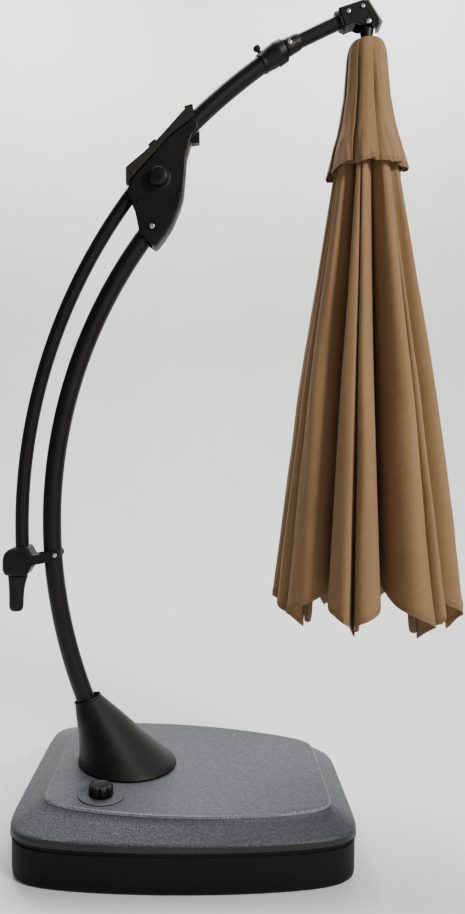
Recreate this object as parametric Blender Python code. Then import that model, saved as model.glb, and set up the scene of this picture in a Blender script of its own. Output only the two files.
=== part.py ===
"""Cantilever parasol with a curved mast, a sliding curved arm, a hanging folded canopy and a fillable base.

The frame has its origin on the floor, on the mast's swivel axis. +X points from the mast
towards the canopy and +Z is up. The whole parasol is built in the plane y = 0, with the
near side at negative y. All lengths are in metres.
"""

import math

import bmesh
import bpy
from mathutils import Matrix, Vector

# ---------------------------------------------------------------- driving dimensions
GAP = 0.0003                # play left between touching pieces
TAU = 2 * math.pi

# curved mast: one arc of round tube
MAST_CENTRE = (1.228, 0.910)    # x, z
MAST_R = 1.462
MAST_TUBE_R = 0.029
MAST_WALL = 0.002
MAST_FOOT_Z = 0.217
MAST_HEAD_ANGLE = 40.0          # degrees above the arc's horizontal

# sliding arm: one long curved tube, from the handle up through the guide tube to the elbow
ARM_CENTRE = (1.358, 0.896)
ARM_R = 1.687
ARM_TUBE_R = 0.0215
ARM_WALL = 0.002
ARM_FOOT_ANGLE = -3.0
ARM_BEND_ANGLE = 57.3           # past this the front of the arm bends tighter, then runs straight
ARM_FRONT_R = 0.435
ARM_FRONT_TURN = 9.5
ARM_FRONT_STRAIGHT = 0.169

# guide tube that the arm slides through
GUIDE_TUBE_R = 0.028
GUIDE_WALL = 0.002
GUIDE_START = 45.5
GUIDE_END = 57.1
SLIDE_PLAY = 0.0012

# base
PLATEAU_Z = 0.177
SKIRT_Z = 0.127
SEAM_Z = 0.107
BASE_WALL = 0.005
COLLAR_R = 0.147
FILLER = (-0.048, -0.231)
DRAIN_X = -0.287
SPINDLE_R = 0.0305

# housing on the mast's head
SHELL_HALF = 0.037
CHEEK = 0.004
MAST_BOLT = (0.0795, 1.8045)
KNOB = (0.100, 1.9475)
TRIGGER_PIVOT = (0.2125, 2.0905)

# elbow, canopy
HANG = (0.713, 2.385)
CANOPY_X = 0.713
PULLEY = (0.6965, 2.4300)
PULLEY_R = 0.0145
RIBS = 8
RIB_TOP = (0.036, 2.300)        # radius, z
RIB_TIP = (0.200, 0.655)
RIB_TURN = math.radians(25.0)   # the first rib's place round the pole
RUNNER_Z = 0.850
POLE_R = 0.011
CORD_R = 0.002


# ---------------------------------------------------------------- scene and materials
def clear_scene():
    for old in list(bpy.data.objects):
        bpy.data.objects.remove(old, do_unlink=True)


def material(name, colour, roughness, metallic=0.0):
    made = bpy.data.materials.new(name)
    made.use_nodes = True
    shader = made.node_tree.nodes["Principled BSDF"]
    shader.inputs["Base Color"].default_value = (*colour, 1.0)
    shader.inputs["Roughness"].default_value = roughness
    shader.inputs["Metallic"].default_value = metallic
    made.diffuse_color = (*colour, 1.0)
    return made


FINISHES = {
    "powder_coat": ((0.018, 0.018, 0.019), 0.42, 0.3),
    "black_plastic": ((0.020, 0.020, 0.021), 0.50, 0.0),
    "cover_plastic": ((0.050, 0.050, 0.052), 0.55, 0.0),
    "base_plastic": ((0.070, 0.070, 0.075), 0.60, 0.0),
    "steel": ((0.55, 0.55, 0.56), 0.30, 1.0),
    "nylon": ((0.60, 0.60, 0.58), 0.45, 0.0),
    "fabric": ((0.34, 0.20, 0.10), 0.90, 0.0),
    "cord": ((0.80, 0.80, 0.76), 0.80, 0.0),
    "aluminium": ((0.60, 0.60, 0.61), 0.35, 1.0),
}


# ---------------------------------------------------------------- frame helpers
EMPTIES = {}


def pivot(name, point, parent=None):
    """An empty on a joint's axis, which the pieces that turn there are parented to."""
    made = bpy.data.objects.new(name, None)
    bpy.context.scene.collection.objects.link(made)
    made.empty_display_size = 0.1
    made.parent = EMPTIES[parent][0] if parent else None
    start = EMPTIES[parent][1] if parent else Vector((0, 0, 0))
    made.location = Vector(point) - start
    EMPTIES[name] = (made, Vector(point))


def finish_mesh(name, bm, finish, on=None, smooth=True):
    """Turns a bmesh in world coordinates into an object with its origin on its pivot."""
    bmesh.ops.remove_doubles(bm, verts=bm.verts, dist=1e-6)
    bmesh.ops.recalc_face_normals(bm, faces=bm.faces)
    if bm.calc_volume(signed=True) < 0:
        bmesh.ops.reverse_faces(bm, faces=bm.faces)
    mesh = bpy.data.meshes.new(name)
    bm.to_mesh(mesh)
    bm.free()
    made = bpy.data.objects.new(name, mesh)
    bpy.context.scene.collection.objects.link(made)
    if on:
        empty, origin = EMPTIES[on]
        mesh.transform(Matrix.Translation(-origin))
        made.parent = empty
    if smooth:
        mesh.shade_smooth()
        mesh.set_sharp_from_angle(angle=math.radians(40))
    if finish:
        mesh.materials.append(material(name + "_" + finish, *FINISHES[finish]))
    return made


def cutter(name, bm):
    made = finish_mesh(name, bm, None, smooth=False)
    made.hide_render = True
    made.display_type = "WIRE"
    return made


def boolean(target, tool, operation="DIFFERENCE"):
    """The tool is placed in world coordinates, and the modifier allows for the target's pivot."""
    made = target.modifiers.new(operation.lower(), "BOOLEAN")
    made.operation = operation
    made.object = tool
    made.solver = "EXACT"


# ---------------------------------------------------------------- shape helpers
def add_rings(bm, rings, cap_start=True, cap_end=True, loop=False):
    """Skins a list of rings, each a list of points with the same count."""
    made = [[bm.verts.new(p) for p in ring] for ring in rings]
    count = len(made[0])
    pairs = list(zip(made, made[1:]))
    if loop:
        pairs.append((made[-1], made[0]))
    for low, high in pairs:
        for i in range(count):
            j = (i + 1) % count
            bm.faces.new((low[i], low[j], high[j], high[i]))
    if not loop and cap_start:
        bm.faces.new(list(reversed(made[0])))
    if not loop and cap_end:
        bm.faces.new(made[-1])
    return bm


def circle(centre, along, radius, sides, squash=1.0, start=0.0):
    """A ring of points square to the direction along. Its first axis stays near +Y."""
    along = Vector(along).normalized()
    side = Vector((0, 1, 0)) if abs(along.y) < 0.9 else Vector((1, 0, 0))
    up = side.cross(along).normalized()
    side = along.cross(up)
    return [
        Vector(centre) + radius * (math.cos(a) * side + squash * math.sin(a) * up)
        for a in (start + TAU * i / sides for i in range(sides))
    ]


def tube(path, outer, inner, sides):
    """A round tube with open ends, swept along a path of (point, direction)."""
    rings = [circle(p, d, outer, sides) for p, d in path]
    rings += [circle(p, d, inner, sides) for p, d in reversed(path)]
    return add_rings(bmesh.new(), rings, loop=True)


def bar(path, radius, sides):
    return add_rings(bmesh.new(), [circle(p, d, radius, sides) for p, d in path])


def turned(profile, sides, base=(0, 0, 0), axis=(0, 0, 1), loop=False):
    """Turns a profile of (radius, distance along the axis). A loop is a ring with a hole."""
    axis = Vector(axis).normalized()
    rings = [circle(Vector(base) + axis * h, axis, r, sides) for r, h in profile]
    return add_rings(bmesh.new(), rings, loop=loop)


def prism(outline, y0, y1, bm=None):
    """Extrudes an outline of (x, z) points between two y positions."""
    rings = [[Vector((x, y, z)) for x, z in outline] for y in (y0, y1)]
    return add_rings(bm or bmesh.new(), rings)


def cross_pin(x, z, y0, y1, radius, sides=12, bm=None):
    rings = [circle((x, y, z), (0, 1, 0), radius, sides) for y in (y0, y1)]
    return add_rings(bm or bmesh.new(), rings)


def arc_point(centre, radius, degrees):
    """A point on an arc that rises clockwise from its leftmost side, and its direction."""
    a = math.radians(degrees)
    point = Vector((centre[0] - radius * math.cos(a), 0, centre[1] + radius * math.sin(a)))
    return point, Vector((math.sin(a), 0, math.cos(a)))


def arc_path(centre, radius, start, end, step):
    count = max(1, round(abs(end - start) / step))
    angles = [start + (end - start) * i / count for i in range(count + 1)]
    return [arc_point(centre, radius, a) for a in angles]


def turned_on_arc(profile, sides, centre, radius, degrees):
    """A ring round a curved tube: its profile is (radius, distance along the tube's arc)."""
    places = [(r, *arc_point(centre, radius, degrees + math.degrees(h / radius))) for r, h in profile]
    rings = [circle(point, along, r, sides) for r, point, along in places]
    return add_rings(bmesh.new(), rings, loop=True)


def mast_angle(z):
    return math.degrees(math.asin((z - MAST_CENTRE[1]) / MAST_R))


def front_centre():
    """Centre of the tighter bend, which carries on smoothly from the sliding arc."""
    start, along = arc_point(ARM_CENTRE, ARM_R, ARM_BEND_ANGLE)
    return (start.x + along.z * ARM_FRONT_R, start.z - along.x * ARM_FRONT_R)


def front_path(step=3.7):
    """The arm's front end: the tighter bend, then a straight run to the elbow."""
    bend = arc_path(front_centre(), ARM_FRONT_R, ARM_BEND_ANGLE, ARM_BEND_ANGLE + ARM_FRONT_TURN, step)
    point, along = bend[-1]
    half = ARM_FRONT_STRAIGHT / 2
    return bend + [(point + along * half, along), (point + along * 2 * half, along)]


def arm_path(step=3.0):
    back = arc_path(ARM_CENTRE, ARM_R, ARM_FOOT_ANGLE, ARM_BEND_ANGLE, step)
    return back + front_path()[1:]


# ---------------------------------------------------------------- base
def base_ring(z, inset, plateau, sides=40):
    """One level of the base: a bulging trapezoid, wider at the mast's end.

    plateau is 0 for the outer outline and 1 for the raised top's outline."""
    def mix(a, b):
        return a + (b - a) * plateau

    x0, x1 = mix(-0.290, -0.205) + inset, mix(0.645, 0.580) - inset
    half0, half1 = mix(0.393, 0.288) - inset, mix(0.289, 0.230) - inset
    bulge = mix(0.044, 0.063)
    power = mix(9.0, 12.0)
    middle, reach = (x0 + x1) / 2, (x1 - x0) / 2

    def outside(x, y):
        t = min(max((x - x0) / (x1 - x0), 0.0), 1.0)
        half = half0 + (half1 - half0) * t + 4 * bulge * t * (1 - t)
        return abs((x - middle) / reach) ** power + abs(y / half) ** power > 1

    ring = []
    for i in range(sides):
        a = TAU * (i + 0.5) / sides
        low, high = 0.0, 1.0
        for _ in range(40):
            r = (low + high) / 2
            if outside(middle + r * math.cos(a), r * math.sin(a)):
                high = r
            else:
                low = r
        ring.append(Vector((middle + low * math.cos(a), low * math.sin(a), z)))
    return ring


def build_base():
    shell_top = SEAM_Z - GAP
    tank = [(0.0, 0.022, 0), (0.008, 0.008, 0), (0.022, 0.003, 0), (shell_top, 0.003, 0)]
    hollow = [(shell_top, 0.003 + BASE_WALL, 0), (0.020, 0.003 + BASE_WALL, 0), (0.006, 0.018, 0)]
    rings = [base_ring(*level) for level in tank + hollow]
    tank_object = finish_mesh("base_tank", add_rings(bmesh.new(), rings), "base_plastic")
    drain = turned([(0.0105, -0.02), (0.0105, 0.03)], 12, (DRAIN_X, -0.12, 0.050), (1, 0, 0))
    boolean(tank_object, cutter("cut_drain", drain))

    cover = [
        (SEAM_Z, 0.003, 0), (SEAM_Z + 0.004, 0.0, 0), (SKIRT_Z, 0.0, 0), (SKIRT_Z + 0.008, 0.010, 0),
        (PLATEAU_Z - 0.012, 0.0, 0.86), (PLATEAU_Z - 0.003, 0.0, 1), (PLATEAU_Z, 0.008, 1),
    ]
    under = [
        (PLATEAU_Z - BASE_WALL, 0.010, 1), (PLATEAU_Z - 0.012, 0.006, 0.90),
        (SKIRT_Z + 0.003, 0.016, 0), (SKIRT_Z - 0.004, 0.006, 0), (SEAM_Z, 0.003 + BASE_WALL, 0),
    ]
    rings = [base_ring(*level) for level in cover + under]
    bm = bmesh.new()
    made = [[bm.verts.new(p) for p in ring] for ring in rings]
    skins = [made[:len(cover)], made[len(cover):]]
    for skin in skins:
        for low, high in zip(skin, skin[1:]):
            for i in range(len(low)):
                j = (i + 1) % len(low)
                bm.faces.new((low[i], low[j], high[j], high[i]))
    bm.faces.new(made[len(cover) - 1])
    bm.faces.new(made[len(cover)])
    first, last = made[0], made[-1]
    for i in range(len(first)):
        j = (i + 1) % len(first)
        bm.faces.new((first[i], first[j], last[j], last[i]))
    cover_object = finish_mesh("base_cover", bm, "base_plastic")
    holes = bmesh.new()
    for x, y, r in ((0, 0, 0.050), (*FILLER, 0.0400)):
        add_rings(holes, [circle((x, y, z), (0, 0, 1), r, 24) for z in (0.15, 0.20)])
    boolean(cover_object, cutter("cut_cover", holes))

    # steel spindle: a plate on the tank's floor and an upright tube for the mast's swivel
    profile = [
        (0.120, 0.0063), (0.120, 0.0123), (SPINDLE_R + 0.006, 0.0123), (SPINDLE_R + 0.006, 0.168),
        (SPINDLE_R, 0.168), (SPINDLE_R, 0.0063),
    ]
    finish_mesh("swivel_spindle", turned(profile, 24, loop=True), "steel")
    washer = [(0.062, 0.1775), (0.130, 0.1775), (0.130, 0.1797), (0.062, 0.1797)]
    finish_mesh("thrust_washer", turned(washer, 24, loop=True), "nylon")

    # filler: a flanged neck through the cover, and a scalloped screw cap
    neck = [
        (0.0335, 0.140), (0.0385, 0.140), (0.0385, PLATEAU_Z + GAP), (0.0640, PLATEAU_Z + GAP),
        (0.0640, PLATEAU_Z + 0.0025), (0.0335, PLATEAU_Z + 0.0025),
    ]
    finish_mesh("filler_neck", turned(neck, 24, (*FILLER, 0), loop=True), "black_plastic")


def build_filler_cap():
    """A screw plug with eight scallops round its rim."""
    sides, scallops = 32, 8
    z0 = PLATEAU_Z + 0.0028
    rings = []
    for r, z, depth in ((0.029, 0.150, 0), (0.029, z0, 0), (0.0345, z0, 1), (0.0345, z0 + 0.024, 1),
                        (0.0300, z0 + 0.029, 0.6)):
        rings.append([
            Vector((
                FILLER[0] + radius * math.cos(TAU * i / sides),
                FILLER[1] + radius * math.sin(TAU * i / sides), z,
            ))
            for i, radius in (
                (i, r - 0.0022 * depth * (1 + math.cos(scallops * TAU * i / sides)))
                for i in range(sides)
            )
        ])
    finish_mesh("filler_cap", add_rings(bmesh.new(), rings), "black_plastic", "filler_axis")
    plug = [(0.0098, 0.012), (0.0098, -0.0002), (0.017, -0.0002), (0.017, -0.006), (0.013, -0.009)]
    turned_plug = turned(plug, 16, (DRAIN_X, -0.12, 0.050), (1, 0, 0))
    finish_mesh("drain_plug", turned_plug, "black_plastic", "drain_axis")


# ---------------------------------------------------------------- mast
def build_mast_foot():
    """The steel socket turns in the spindle and holds the leaning mast. The collar hides it."""
    pin = [
        (0.0300, 0.030), (0.0300, 0.1800), (0.115, 0.1800), (0.115, 0.1860),
        (0.060, 0.1860), (0.056, 0.1960), (0.0270, 0.1960), (0.0270, 0.030),
    ]
    socket = finish_mesh("swivel_socket", turned(pin, 24, loop=True), "steel", "mast_axis")
    sleeve = arc_path(MAST_CENTRE, MAST_R, mast_angle(0.2000), mast_angle(0.300), 2.5)
    boolean(socket, cutter("sleeve", tube(sleeve, MAST_TUBE_R + 0.0045, MAST_TUBE_R + 0.0008, 12)), "UNION")

    # collar: a slanted cone from its round foot to an opening round the leaning mast
    foot, top = Vector((0, 0, 0)), Vector((-0.1215, 0, 0.3625))
    top_normal = Vector((-0.345, 0, 0.94))
    sides = 24

    def level(t, wall, z_foot):
        low = circle((foot.x, 0, z_foot), (0, 0, 1), COLLAR_R - wall, sides)
        high = circle(top, top_normal, 0.0420 - wall, sides)
        return [a.lerp(b, t) for a, b in zip(low, high)]

    z_rim = PLATEAU_Z + 0.0006
    outside = [circle((0, 0, z), (0, 0, 1), COLLAR_R + 0.003, sides) for z in (z_rim, z_rim + 0.006)]
    outside += [level(t, 0.0, z_rim + 0.009) for t in (0, 0.5, 1)]
    inside = [level(t, 0.003, z_rim + 0.006) for t in (1, 0.5, 0)]
    inside.append(circle((0, 0, z_rim), (0, 0, 1), COLLAR_R - 0.003, sides))
    rings = outside + inside
    finish_mesh("collar", add_rings(bmesh.new(), rings, loop=True), "black_plastic", "mast_axis")


def build_mast():
    path = arc_path(MAST_CENTRE, MAST_R, mast_angle(MAST_FOOT_Z), MAST_HEAD_ANGLE, 3.5)
    mast = finish_mesh(
        "mast_tube", tube(path, MAST_TUBE_R, MAST_TUBE_R - MAST_WALL, 12), "powder_coat", "mast_axis"
    )
    boolean(mast, BOLT_HOLES)
    # cast head: a plug in the mast's end, widening into the block that the shells clamp
    plug = arc_path(MAST_CENTRE, MAST_R, 34.5, MAST_HEAD_ANGLE + 1.0, 3.0)
    head = finish_mesh("mast_head", bar(plug, 0.0255, 12), "aluminium", "mast_axis")
    block = [(0.0935, 1.880), (0.128, 1.852), (0.152, 1.880), (0.168, 1.960), (0.140, 1.975), (0.108, 1.935)]
    boolean(head, cutter("head_block", prism(block, -0.022, 0.022)), "UNION")
    boolean(head, BOLT_HOLES)


# ---------------------------------------------------------------- housing
SHELL_OUTLINE = [
    (0.0030, 1.913), (0.0250, 1.860), (0.0340, 1.816), (0.0400, 1.786), (0.0640, 1.760), (0.0890, 1.741),
    (0.1150, 1.772), (0.1380, 1.807), (0.1620, 1.861), (0.1740, 1.903), (0.1790, 1.960), (0.1830, 2.018),
    (0.1900, 2.042), (0.1985, 2.072), (0.2210, 2.1000), (0.2070, 2.1290), (0.1320, 2.0745), (0.0730, 2.0110),
    (0.0120, 1.9460),
]
SHELL_POCKET = [
    (-0.0400, 1.900), (0.0000, 1.840), (0.0150, 1.770), (0.0500, 1.700), (0.0800, 1.7560), (0.0905, 1.7480),
    (0.1120, 1.7750), (0.1340, 1.8090), (0.1578, 1.8620), (0.1698, 1.9035), (0.1750, 1.9600), (0.1790, 2.0190),
    (0.1860, 2.0430), (0.1950, 2.0740), (0.2400, 2.0950), (0.2400, 2.2000), (0.1000, 2.1500), (-0.0300, 2.0000),
]
COVER_OUTLINE = [
    (0.0000, 1.9360), (0.0030, 1.9235), (0.0114, 1.9467), (0.0723, 2.0118), (0.1314, 2.0755), (0.2068, 2.1300),
    (0.1975, 2.1590), (0.1870, 2.1585), (0.1694, 2.1435), (0.0976, 2.0665), (0.0555, 2.0290), (0.0000, 1.9850),
]
COVER_POCKET = [
    (-0.0200, 1.9000), (-0.0200, 1.9350), (0.0045, 1.9540), (0.0045, 1.9815), (0.0570, 2.0240), (0.0990, 2.0620),
    (0.1600, 2.1260), (0.1750, 2.1392), (0.1870, 2.1502), (0.1950, 2.1578), (0.2400, 2.2000), (0.2400, 2.1000),
    (0.1314, 2.0500), (0.0500, 1.9500),
]
SHELL_BOLTS = {"shell_bolt_1": (0.0374, 1.880), "shell_bolt_2": (0.1585, 1.8990)}


def bolt_hole_cutter():
    bm = bmesh.new()
    for x, z, r in ((*MAST_BOLT, 0.0054), *((*p, 0.0034) for p in SHELL_BOLTS.values())):
        cross_pin(x, z, -0.06, 0.06, r, 12, bm)
    return cutter("cut_bolts", bm)


def build_housing():
    knob_hole = cutter("cut_knob", cross_pin(*KNOB, -0.06, -0.02, 0.0056))
    for name, side in (("housing_near", -1), ("housing_far", 1)):
        outer, seam = side * SHELL_HALF, side * GAP / 2
        shell = finish_mesh(name, prism(SHELL_OUTLINE, outer, seam), "black_plastic", "mast_axis")
        pocket = prism(SHELL_POCKET, side * (SHELL_HALF - CHEEK), -side * 0.01)
        boolean(shell, cutter("pocket_" + name, pocket))
        boolean(shell, BOLT_HOLES)
        if side < 0:
            boolean(shell, knob_hole)
    cover = finish_mesh(
        "housing_cover", prism(COVER_OUTLINE, -SHELL_HALF - 0.002, SHELL_HALF + 0.002), "cover_plastic",
        "mast_axis",
    )
    inner = SHELL_HALF - CHEEK + 0.002
    boolean(cover, cutter("pocket_cover", prism(COVER_POCKET, -inner, inner)))

    bolts = {"mast_bolt": (*MAST_BOLT, 0.0050, 0.0095), **{
        name: (*place, 0.0030, 0.0060) for name, place in SHELL_BOLTS.items()
    }}
    for name, (x, z, shank, head) in bolts.items():
        out = SHELL_HALF + GAP
        rings = [(head * 0.8, -out - 0.0045), (head, -out - 0.003), (head, -out), (shank, -out)]
        rings += [(shank, out), (head, out), (head, out + 0.005)]
        finish_mesh(name, turned(rings, 8, (x, 0, z), (0, 1, 0)), "steel", "mast_axis")


def build_guide():
    path = arc_path(ARM_CENTRE, ARM_R, GUIDE_START, GUIDE_END, 2.0)
    inner = GUIDE_TUBE_R - GUIDE_WALL
    guide = finish_mesh("guide_tube", tube(path, GUIDE_TUBE_R, inner, 12), "powder_coat", "mast_axis")
    boolean(guide, PLUNGER_HOLE)
    for name, start in (("guide_bush_lower", GUIDE_START + 0.3), ("guide_bush_upper", GUIDE_END - 1.5)):
        ring = arc_path(ARM_CENTRE, ARM_R, start, start + 1.2, 1.2)
        bush = tube(ring, inner * 0.980, ARM_TUBE_R + SLIDE_PLAY, 12)
        made = finish_mesh(name, bush, "nylon", "mast_axis")
        if name.endswith("upper"):
            boolean(made, PLUNGER_HOLE)
    # coupling: a flared cuff clamped on the guide tube's end
    profile = [
        (GUIDE_TUBE_R + 0.0006, -0.044), (0.0315, -0.044), (0.0325, -0.030), (0.0345, 0.016), (0.0350, 0.030),
        (0.0335, 0.036), (ARM_TUBE_R + 0.0035, 0.036), (ARM_TUBE_R + 0.0035, 0.0012),
        (GUIDE_TUBE_R + 0.0006, 0.0012),
    ]
    cuff = turned_on_arc(profile, 12, ARM_CENTRE, ARM_R, GUIDE_END)
    made = finish_mesh("coupling_cuff", cuff, "black_plastic", "mast_axis")
    boolean(made, PLUNGER_HOLE)


def plunger_frame():
    """Where the plunger crosses the cuff, and its direction, square to the tube and upwards."""
    point, along = arc_point(ARM_CENTRE, ARM_R, GUIDE_END - 0.9)
    return point, Vector((-along.z, 0, along.x))


def build_controls():
    # lock knob: a domed, fluted grip with its threaded stud through the near shell
    sides, flutes, y = 24, 8, -SHELL_HALF - 0.0004
    rings = []
    for r, out, depth in ((0.0050, -0.018, 0), (0.0050, 0, 0), (0.022, 0, 0), (0.024, 0.004, 0),
                          (0.0295, 0.006, 1), (0.0300, 0.020, 1), (0.0260, 0.026, 0.5), (0.012, 0.029, 0)):
        rings.append([
            Vector((
                KNOB[0] + radius * math.cos(TAU * i / sides), y - out,
                KNOB[1] + radius * math.sin(TAU * i / sides),
            ))
            for i, radius in (
                (i, r - 0.0008 * depth * (1 + math.cos(flutes * TAU * i / sides))) for i in range(sides)
            )
        ])
    finish_mesh("lock_knob", add_rings(bmesh.new(), rings), "black_plastic", "knob_axis")

    trigger = [(0.1970, 2.0560), (0.2225, 2.0590), (0.2215, 2.0985), (0.2010, 2.0725)]
    bm = prism(trigger, -0.012, 0.012)
    finish_mesh("release_trigger", bm, "black_plastic", "trigger_axis", smooth=False)

    point, out = plunger_frame()
    profile = [
        (0.0030, 0.0235), (0.0030, 0.0338), (0.0060, 0.0338), (0.0060, 0.0400), (0.0095, 0.0440),
        (0.0110, 0.0490), (0.0090, 0.0545), (0.0040, 0.0570),
    ]
    knob = turned(profile, 16, point, out)
    finish_mesh("index_plunger", knob, "black_plastic", "plunger_axis")


# ---------------------------------------------------------------- sliding arm
def build_arm():
    arm = finish_mesh(
        "arm_tube", tube(arm_path(), ARM_TUBE_R, ARM_TUBE_R - ARM_WALL, 12), "powder_coat", "arm_axis"
    )
    profile = [
        (ARM_TUBE_R + 0.0009, 0.034), (0.0270, 0.034), (0.0262, 0.068), (0.0238, 0.080),
        (ARM_TUBE_R + 0.0009, 0.080),
    ]
    collar = turned_on_arc(profile, 12, front_centre(), ARM_FRONT_R, ARM_BEND_ANGLE)
    finish_mesh("arm_stop_sleeve", collar, "black_plastic", "arm_axis")
    build_elbow(arm)
    build_handle()


def build_elbow(arm):
    front = front_path()
    tip, along = front[-1]
    outline = [
        (0.6265, 2.4315), (0.6970, 2.4510), (0.7070, 2.4500), (0.7405, 2.3905), (0.7340, 2.3780),
        (0.6880, 2.3780), (0.6740, 2.3860), (0.6475, 2.3750),
    ]
    head = finish_mesh("elbow_head", prism(outline, -0.0285, 0.0285), "black_plastic", "arm_axis", False)
    bore = bar([front[-2], (tip + along * 0.002, along)], ARM_TUBE_R + 0.0008, 16)
    boolean(head, cutter("cut_bore", bore))
    slot = [(0.6760, 2.3500), (0.6760, 2.4360), (0.6960, 2.4460), (0.7030, 2.4460), (0.7500, 2.3900), (0.7500, 2.3500)]
    boolean(head, cutter("cut_slot", prism(slot, -0.0225, 0.0225)))
    channel = [(0.6550, 2.4080), (0.6550, 2.4320), (0.6720, 2.4383), (0.6940, 2.4455), (0.6940, 2.4100)]
    boolean(head, cutter("cut_channel", prism(channel, -0.0050, 0.0050)))
    pins = bmesh.new()
    cross_pin(*PULLEY, -0.05, 0.05, 0.0034, 12, pins)
    cross_pin(*HANG, -0.05, 0.05, 0.0044, 12, pins)
    pin_cutter = cutter("cut_pins", pins)
    boolean(head, pin_cutter)
    boolean(arm, pin_cutter)

    cap = [(0.7078, 2.4503), (0.7125, 2.4515), (0.7545, 2.3800), (0.7430, 2.3760), (0.7412, 2.3912)]
    finish_mesh("elbow_end_cap", prism(cap, -0.0285, 0.0285), "cover_plastic", "arm_axis", False)

    wide = 0.0285 + GAP
    rings = [(0.0050, -wide - 0.0035), (0.0062, -wide - 0.002), (0.0062, -wide), (0.0030, -wide)]
    rings += [(0.0030, wide), (0.0055, wide), (0.0055, wide + 0.004)]
    axle = turned(rings, 8, (PULLEY[0], 0, PULLEY[1]), (0, 1, 0))
    finish_mesh("pulley_axle", axle, "steel", "arm_axis")
    for name, side in (("hang_screw_near", -1), ("hang_screw_far", 1)):
        rings = [(0.0040, 0.0105), (0.0040, wide), (0.0075, wide), (0.0065, wide + 0.004)]
        finish_mesh(name, turned(rings, 8, (HANG[0], 0, HANG[1]), (0, side, 0)), "steel", "arm_axis")

    wheel = [
        (0.0034, -0.0045), (PULLEY_R, -0.0045), (PULLEY_R, -0.0038), (PULLEY_R - 0.004, -0.0016),
        (PULLEY_R - 0.004, 0.0016), (PULLEY_R, 0.0038), (PULLEY_R, 0.0045), (0.0034, 0.0045),
    ]
    finish_mesh("pulley", turned(wheel, 16, (PULLEY[0], 0, PULLEY[1]), (0, 1, 0), loop=True), "nylon", "pulley_axis")


def build_handle():
    """The bracket clamps the arm's foot and reaches round the mast with two guide arms."""
    block = [
        (-0.3830, 0.760), (-0.3830, 0.795), (-0.3770, 0.812), (-0.3610, 0.826), (-0.3040, 0.835),
        (-0.2880, 0.806), (-0.2780, 0.806), (-0.2780, 0.778), (-0.2900, 0.776), (-0.3080, 0.744),
        (-0.3760, 0.744),
    ]
    bracket = finish_mesh("handle_bracket", prism(block, -0.0390, 0.0390), "black_plastic", "arm_axis", False)
    arms = [(-0.2900, 0.776), (-0.2590, 0.783), (-0.2080, 0.797), (-0.2020, 0.811), (-0.2080, 0.826),
            (-0.2620, 0.812), (-0.2900, 0.806)]
    for side in (-1, 1):
        low, high = sorted((side * 0.0345, side * 0.0390))
        boolean(bracket, cutter(f"guide_arm_{side}", prism(arms, low, high)), "UNION")
    foot, along = arc_point(ARM_CENTRE, ARM_R, ARM_FOOT_ANGLE)
    bore = bar([(foot - along * 0.001, along), (foot + along * 0.12, along)], ARM_TUBE_R + 0.0009, 20)
    boolean(bracket, cutter("cut_foot", bore))
    for name, side in (("guide_pad_near", -1), ("guide_pad_far", 1)):
        pad = [(-0.2420, 0.794), (-0.2120, 0.800), (-0.2090, 0.822), (-0.2400, 0.814)]
        low, high = sorted((side * 0.0303, side * 0.0342))
        finish_mesh(name, prism(pad, low, high), "nylon", "arm_axis", False)
    sections = [
        (0.7437, -0.3415, 0.0325, 0.0210), (0.7250, -0.3440, 0.0290, 0.0200), (0.6950, -0.3460, 0.0250, 0.0185),
        (0.6500, -0.3470, 0.0235, 0.0180), (0.6360, -0.3475, 0.0205, 0.0160), (0.6285, -0.3480, 0.0120, 0.0100),
    ]
    rings = [
        [Vector((x + rx * math.cos(TAU * i / 16), ry * math.sin(TAU * i / 16), z)) for i in range(16)]
        for z, x, rx, ry in sections
    ]
    finish_mesh("handle_grip", add_rings(bmesh.new(), rings), "black_plastic", "arm_axis")


# ---------------------------------------------------------------- canopy
def around(radius, z, angle):
    """A point round the canopy pole. Angle 0 is the first rib's direction."""
    a = angle + RIB_TURN
    return Vector((CANOPY_X + radius * math.cos(a), radius * math.sin(a), z))


def rod_between(a, b, across, high, angle):
    """A rectangular bar from a to b. across is its width round the canopy, high its depth."""
    turn = angle + RIB_TURN
    side = Vector((-math.sin(turn), math.cos(turn), 0)) * across / 2
    up = (b - a).normalized().cross(side.normalized()) * high / 2
    rings = [[p - side - up, p + side - up, p + side + up, p - side + up] for p in (a, b)]
    return add_rings(bmesh.new(), [[Vector(p) for p in ring] for ring in rings])


def fabric_shell(profile, thick, lobe, sides=32):
    """Folded cloth: a cone with a ridge over each rib, open at the bottom."""
    def ring(radius, z, inset):
        return [
            around((radius - inset) * (1 + lobe * math.cos(RIBS * TAU * i / sides)), z, TAU * i / sides)
            for i in range(sides)
        ]

    outside = [ring(r, z, 0) for z, r in profile]
    inside = [ring(r, z, thick) for z, r in reversed(profile)]
    return add_rings(bmesh.new(), outside + inside, loop=True)


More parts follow.
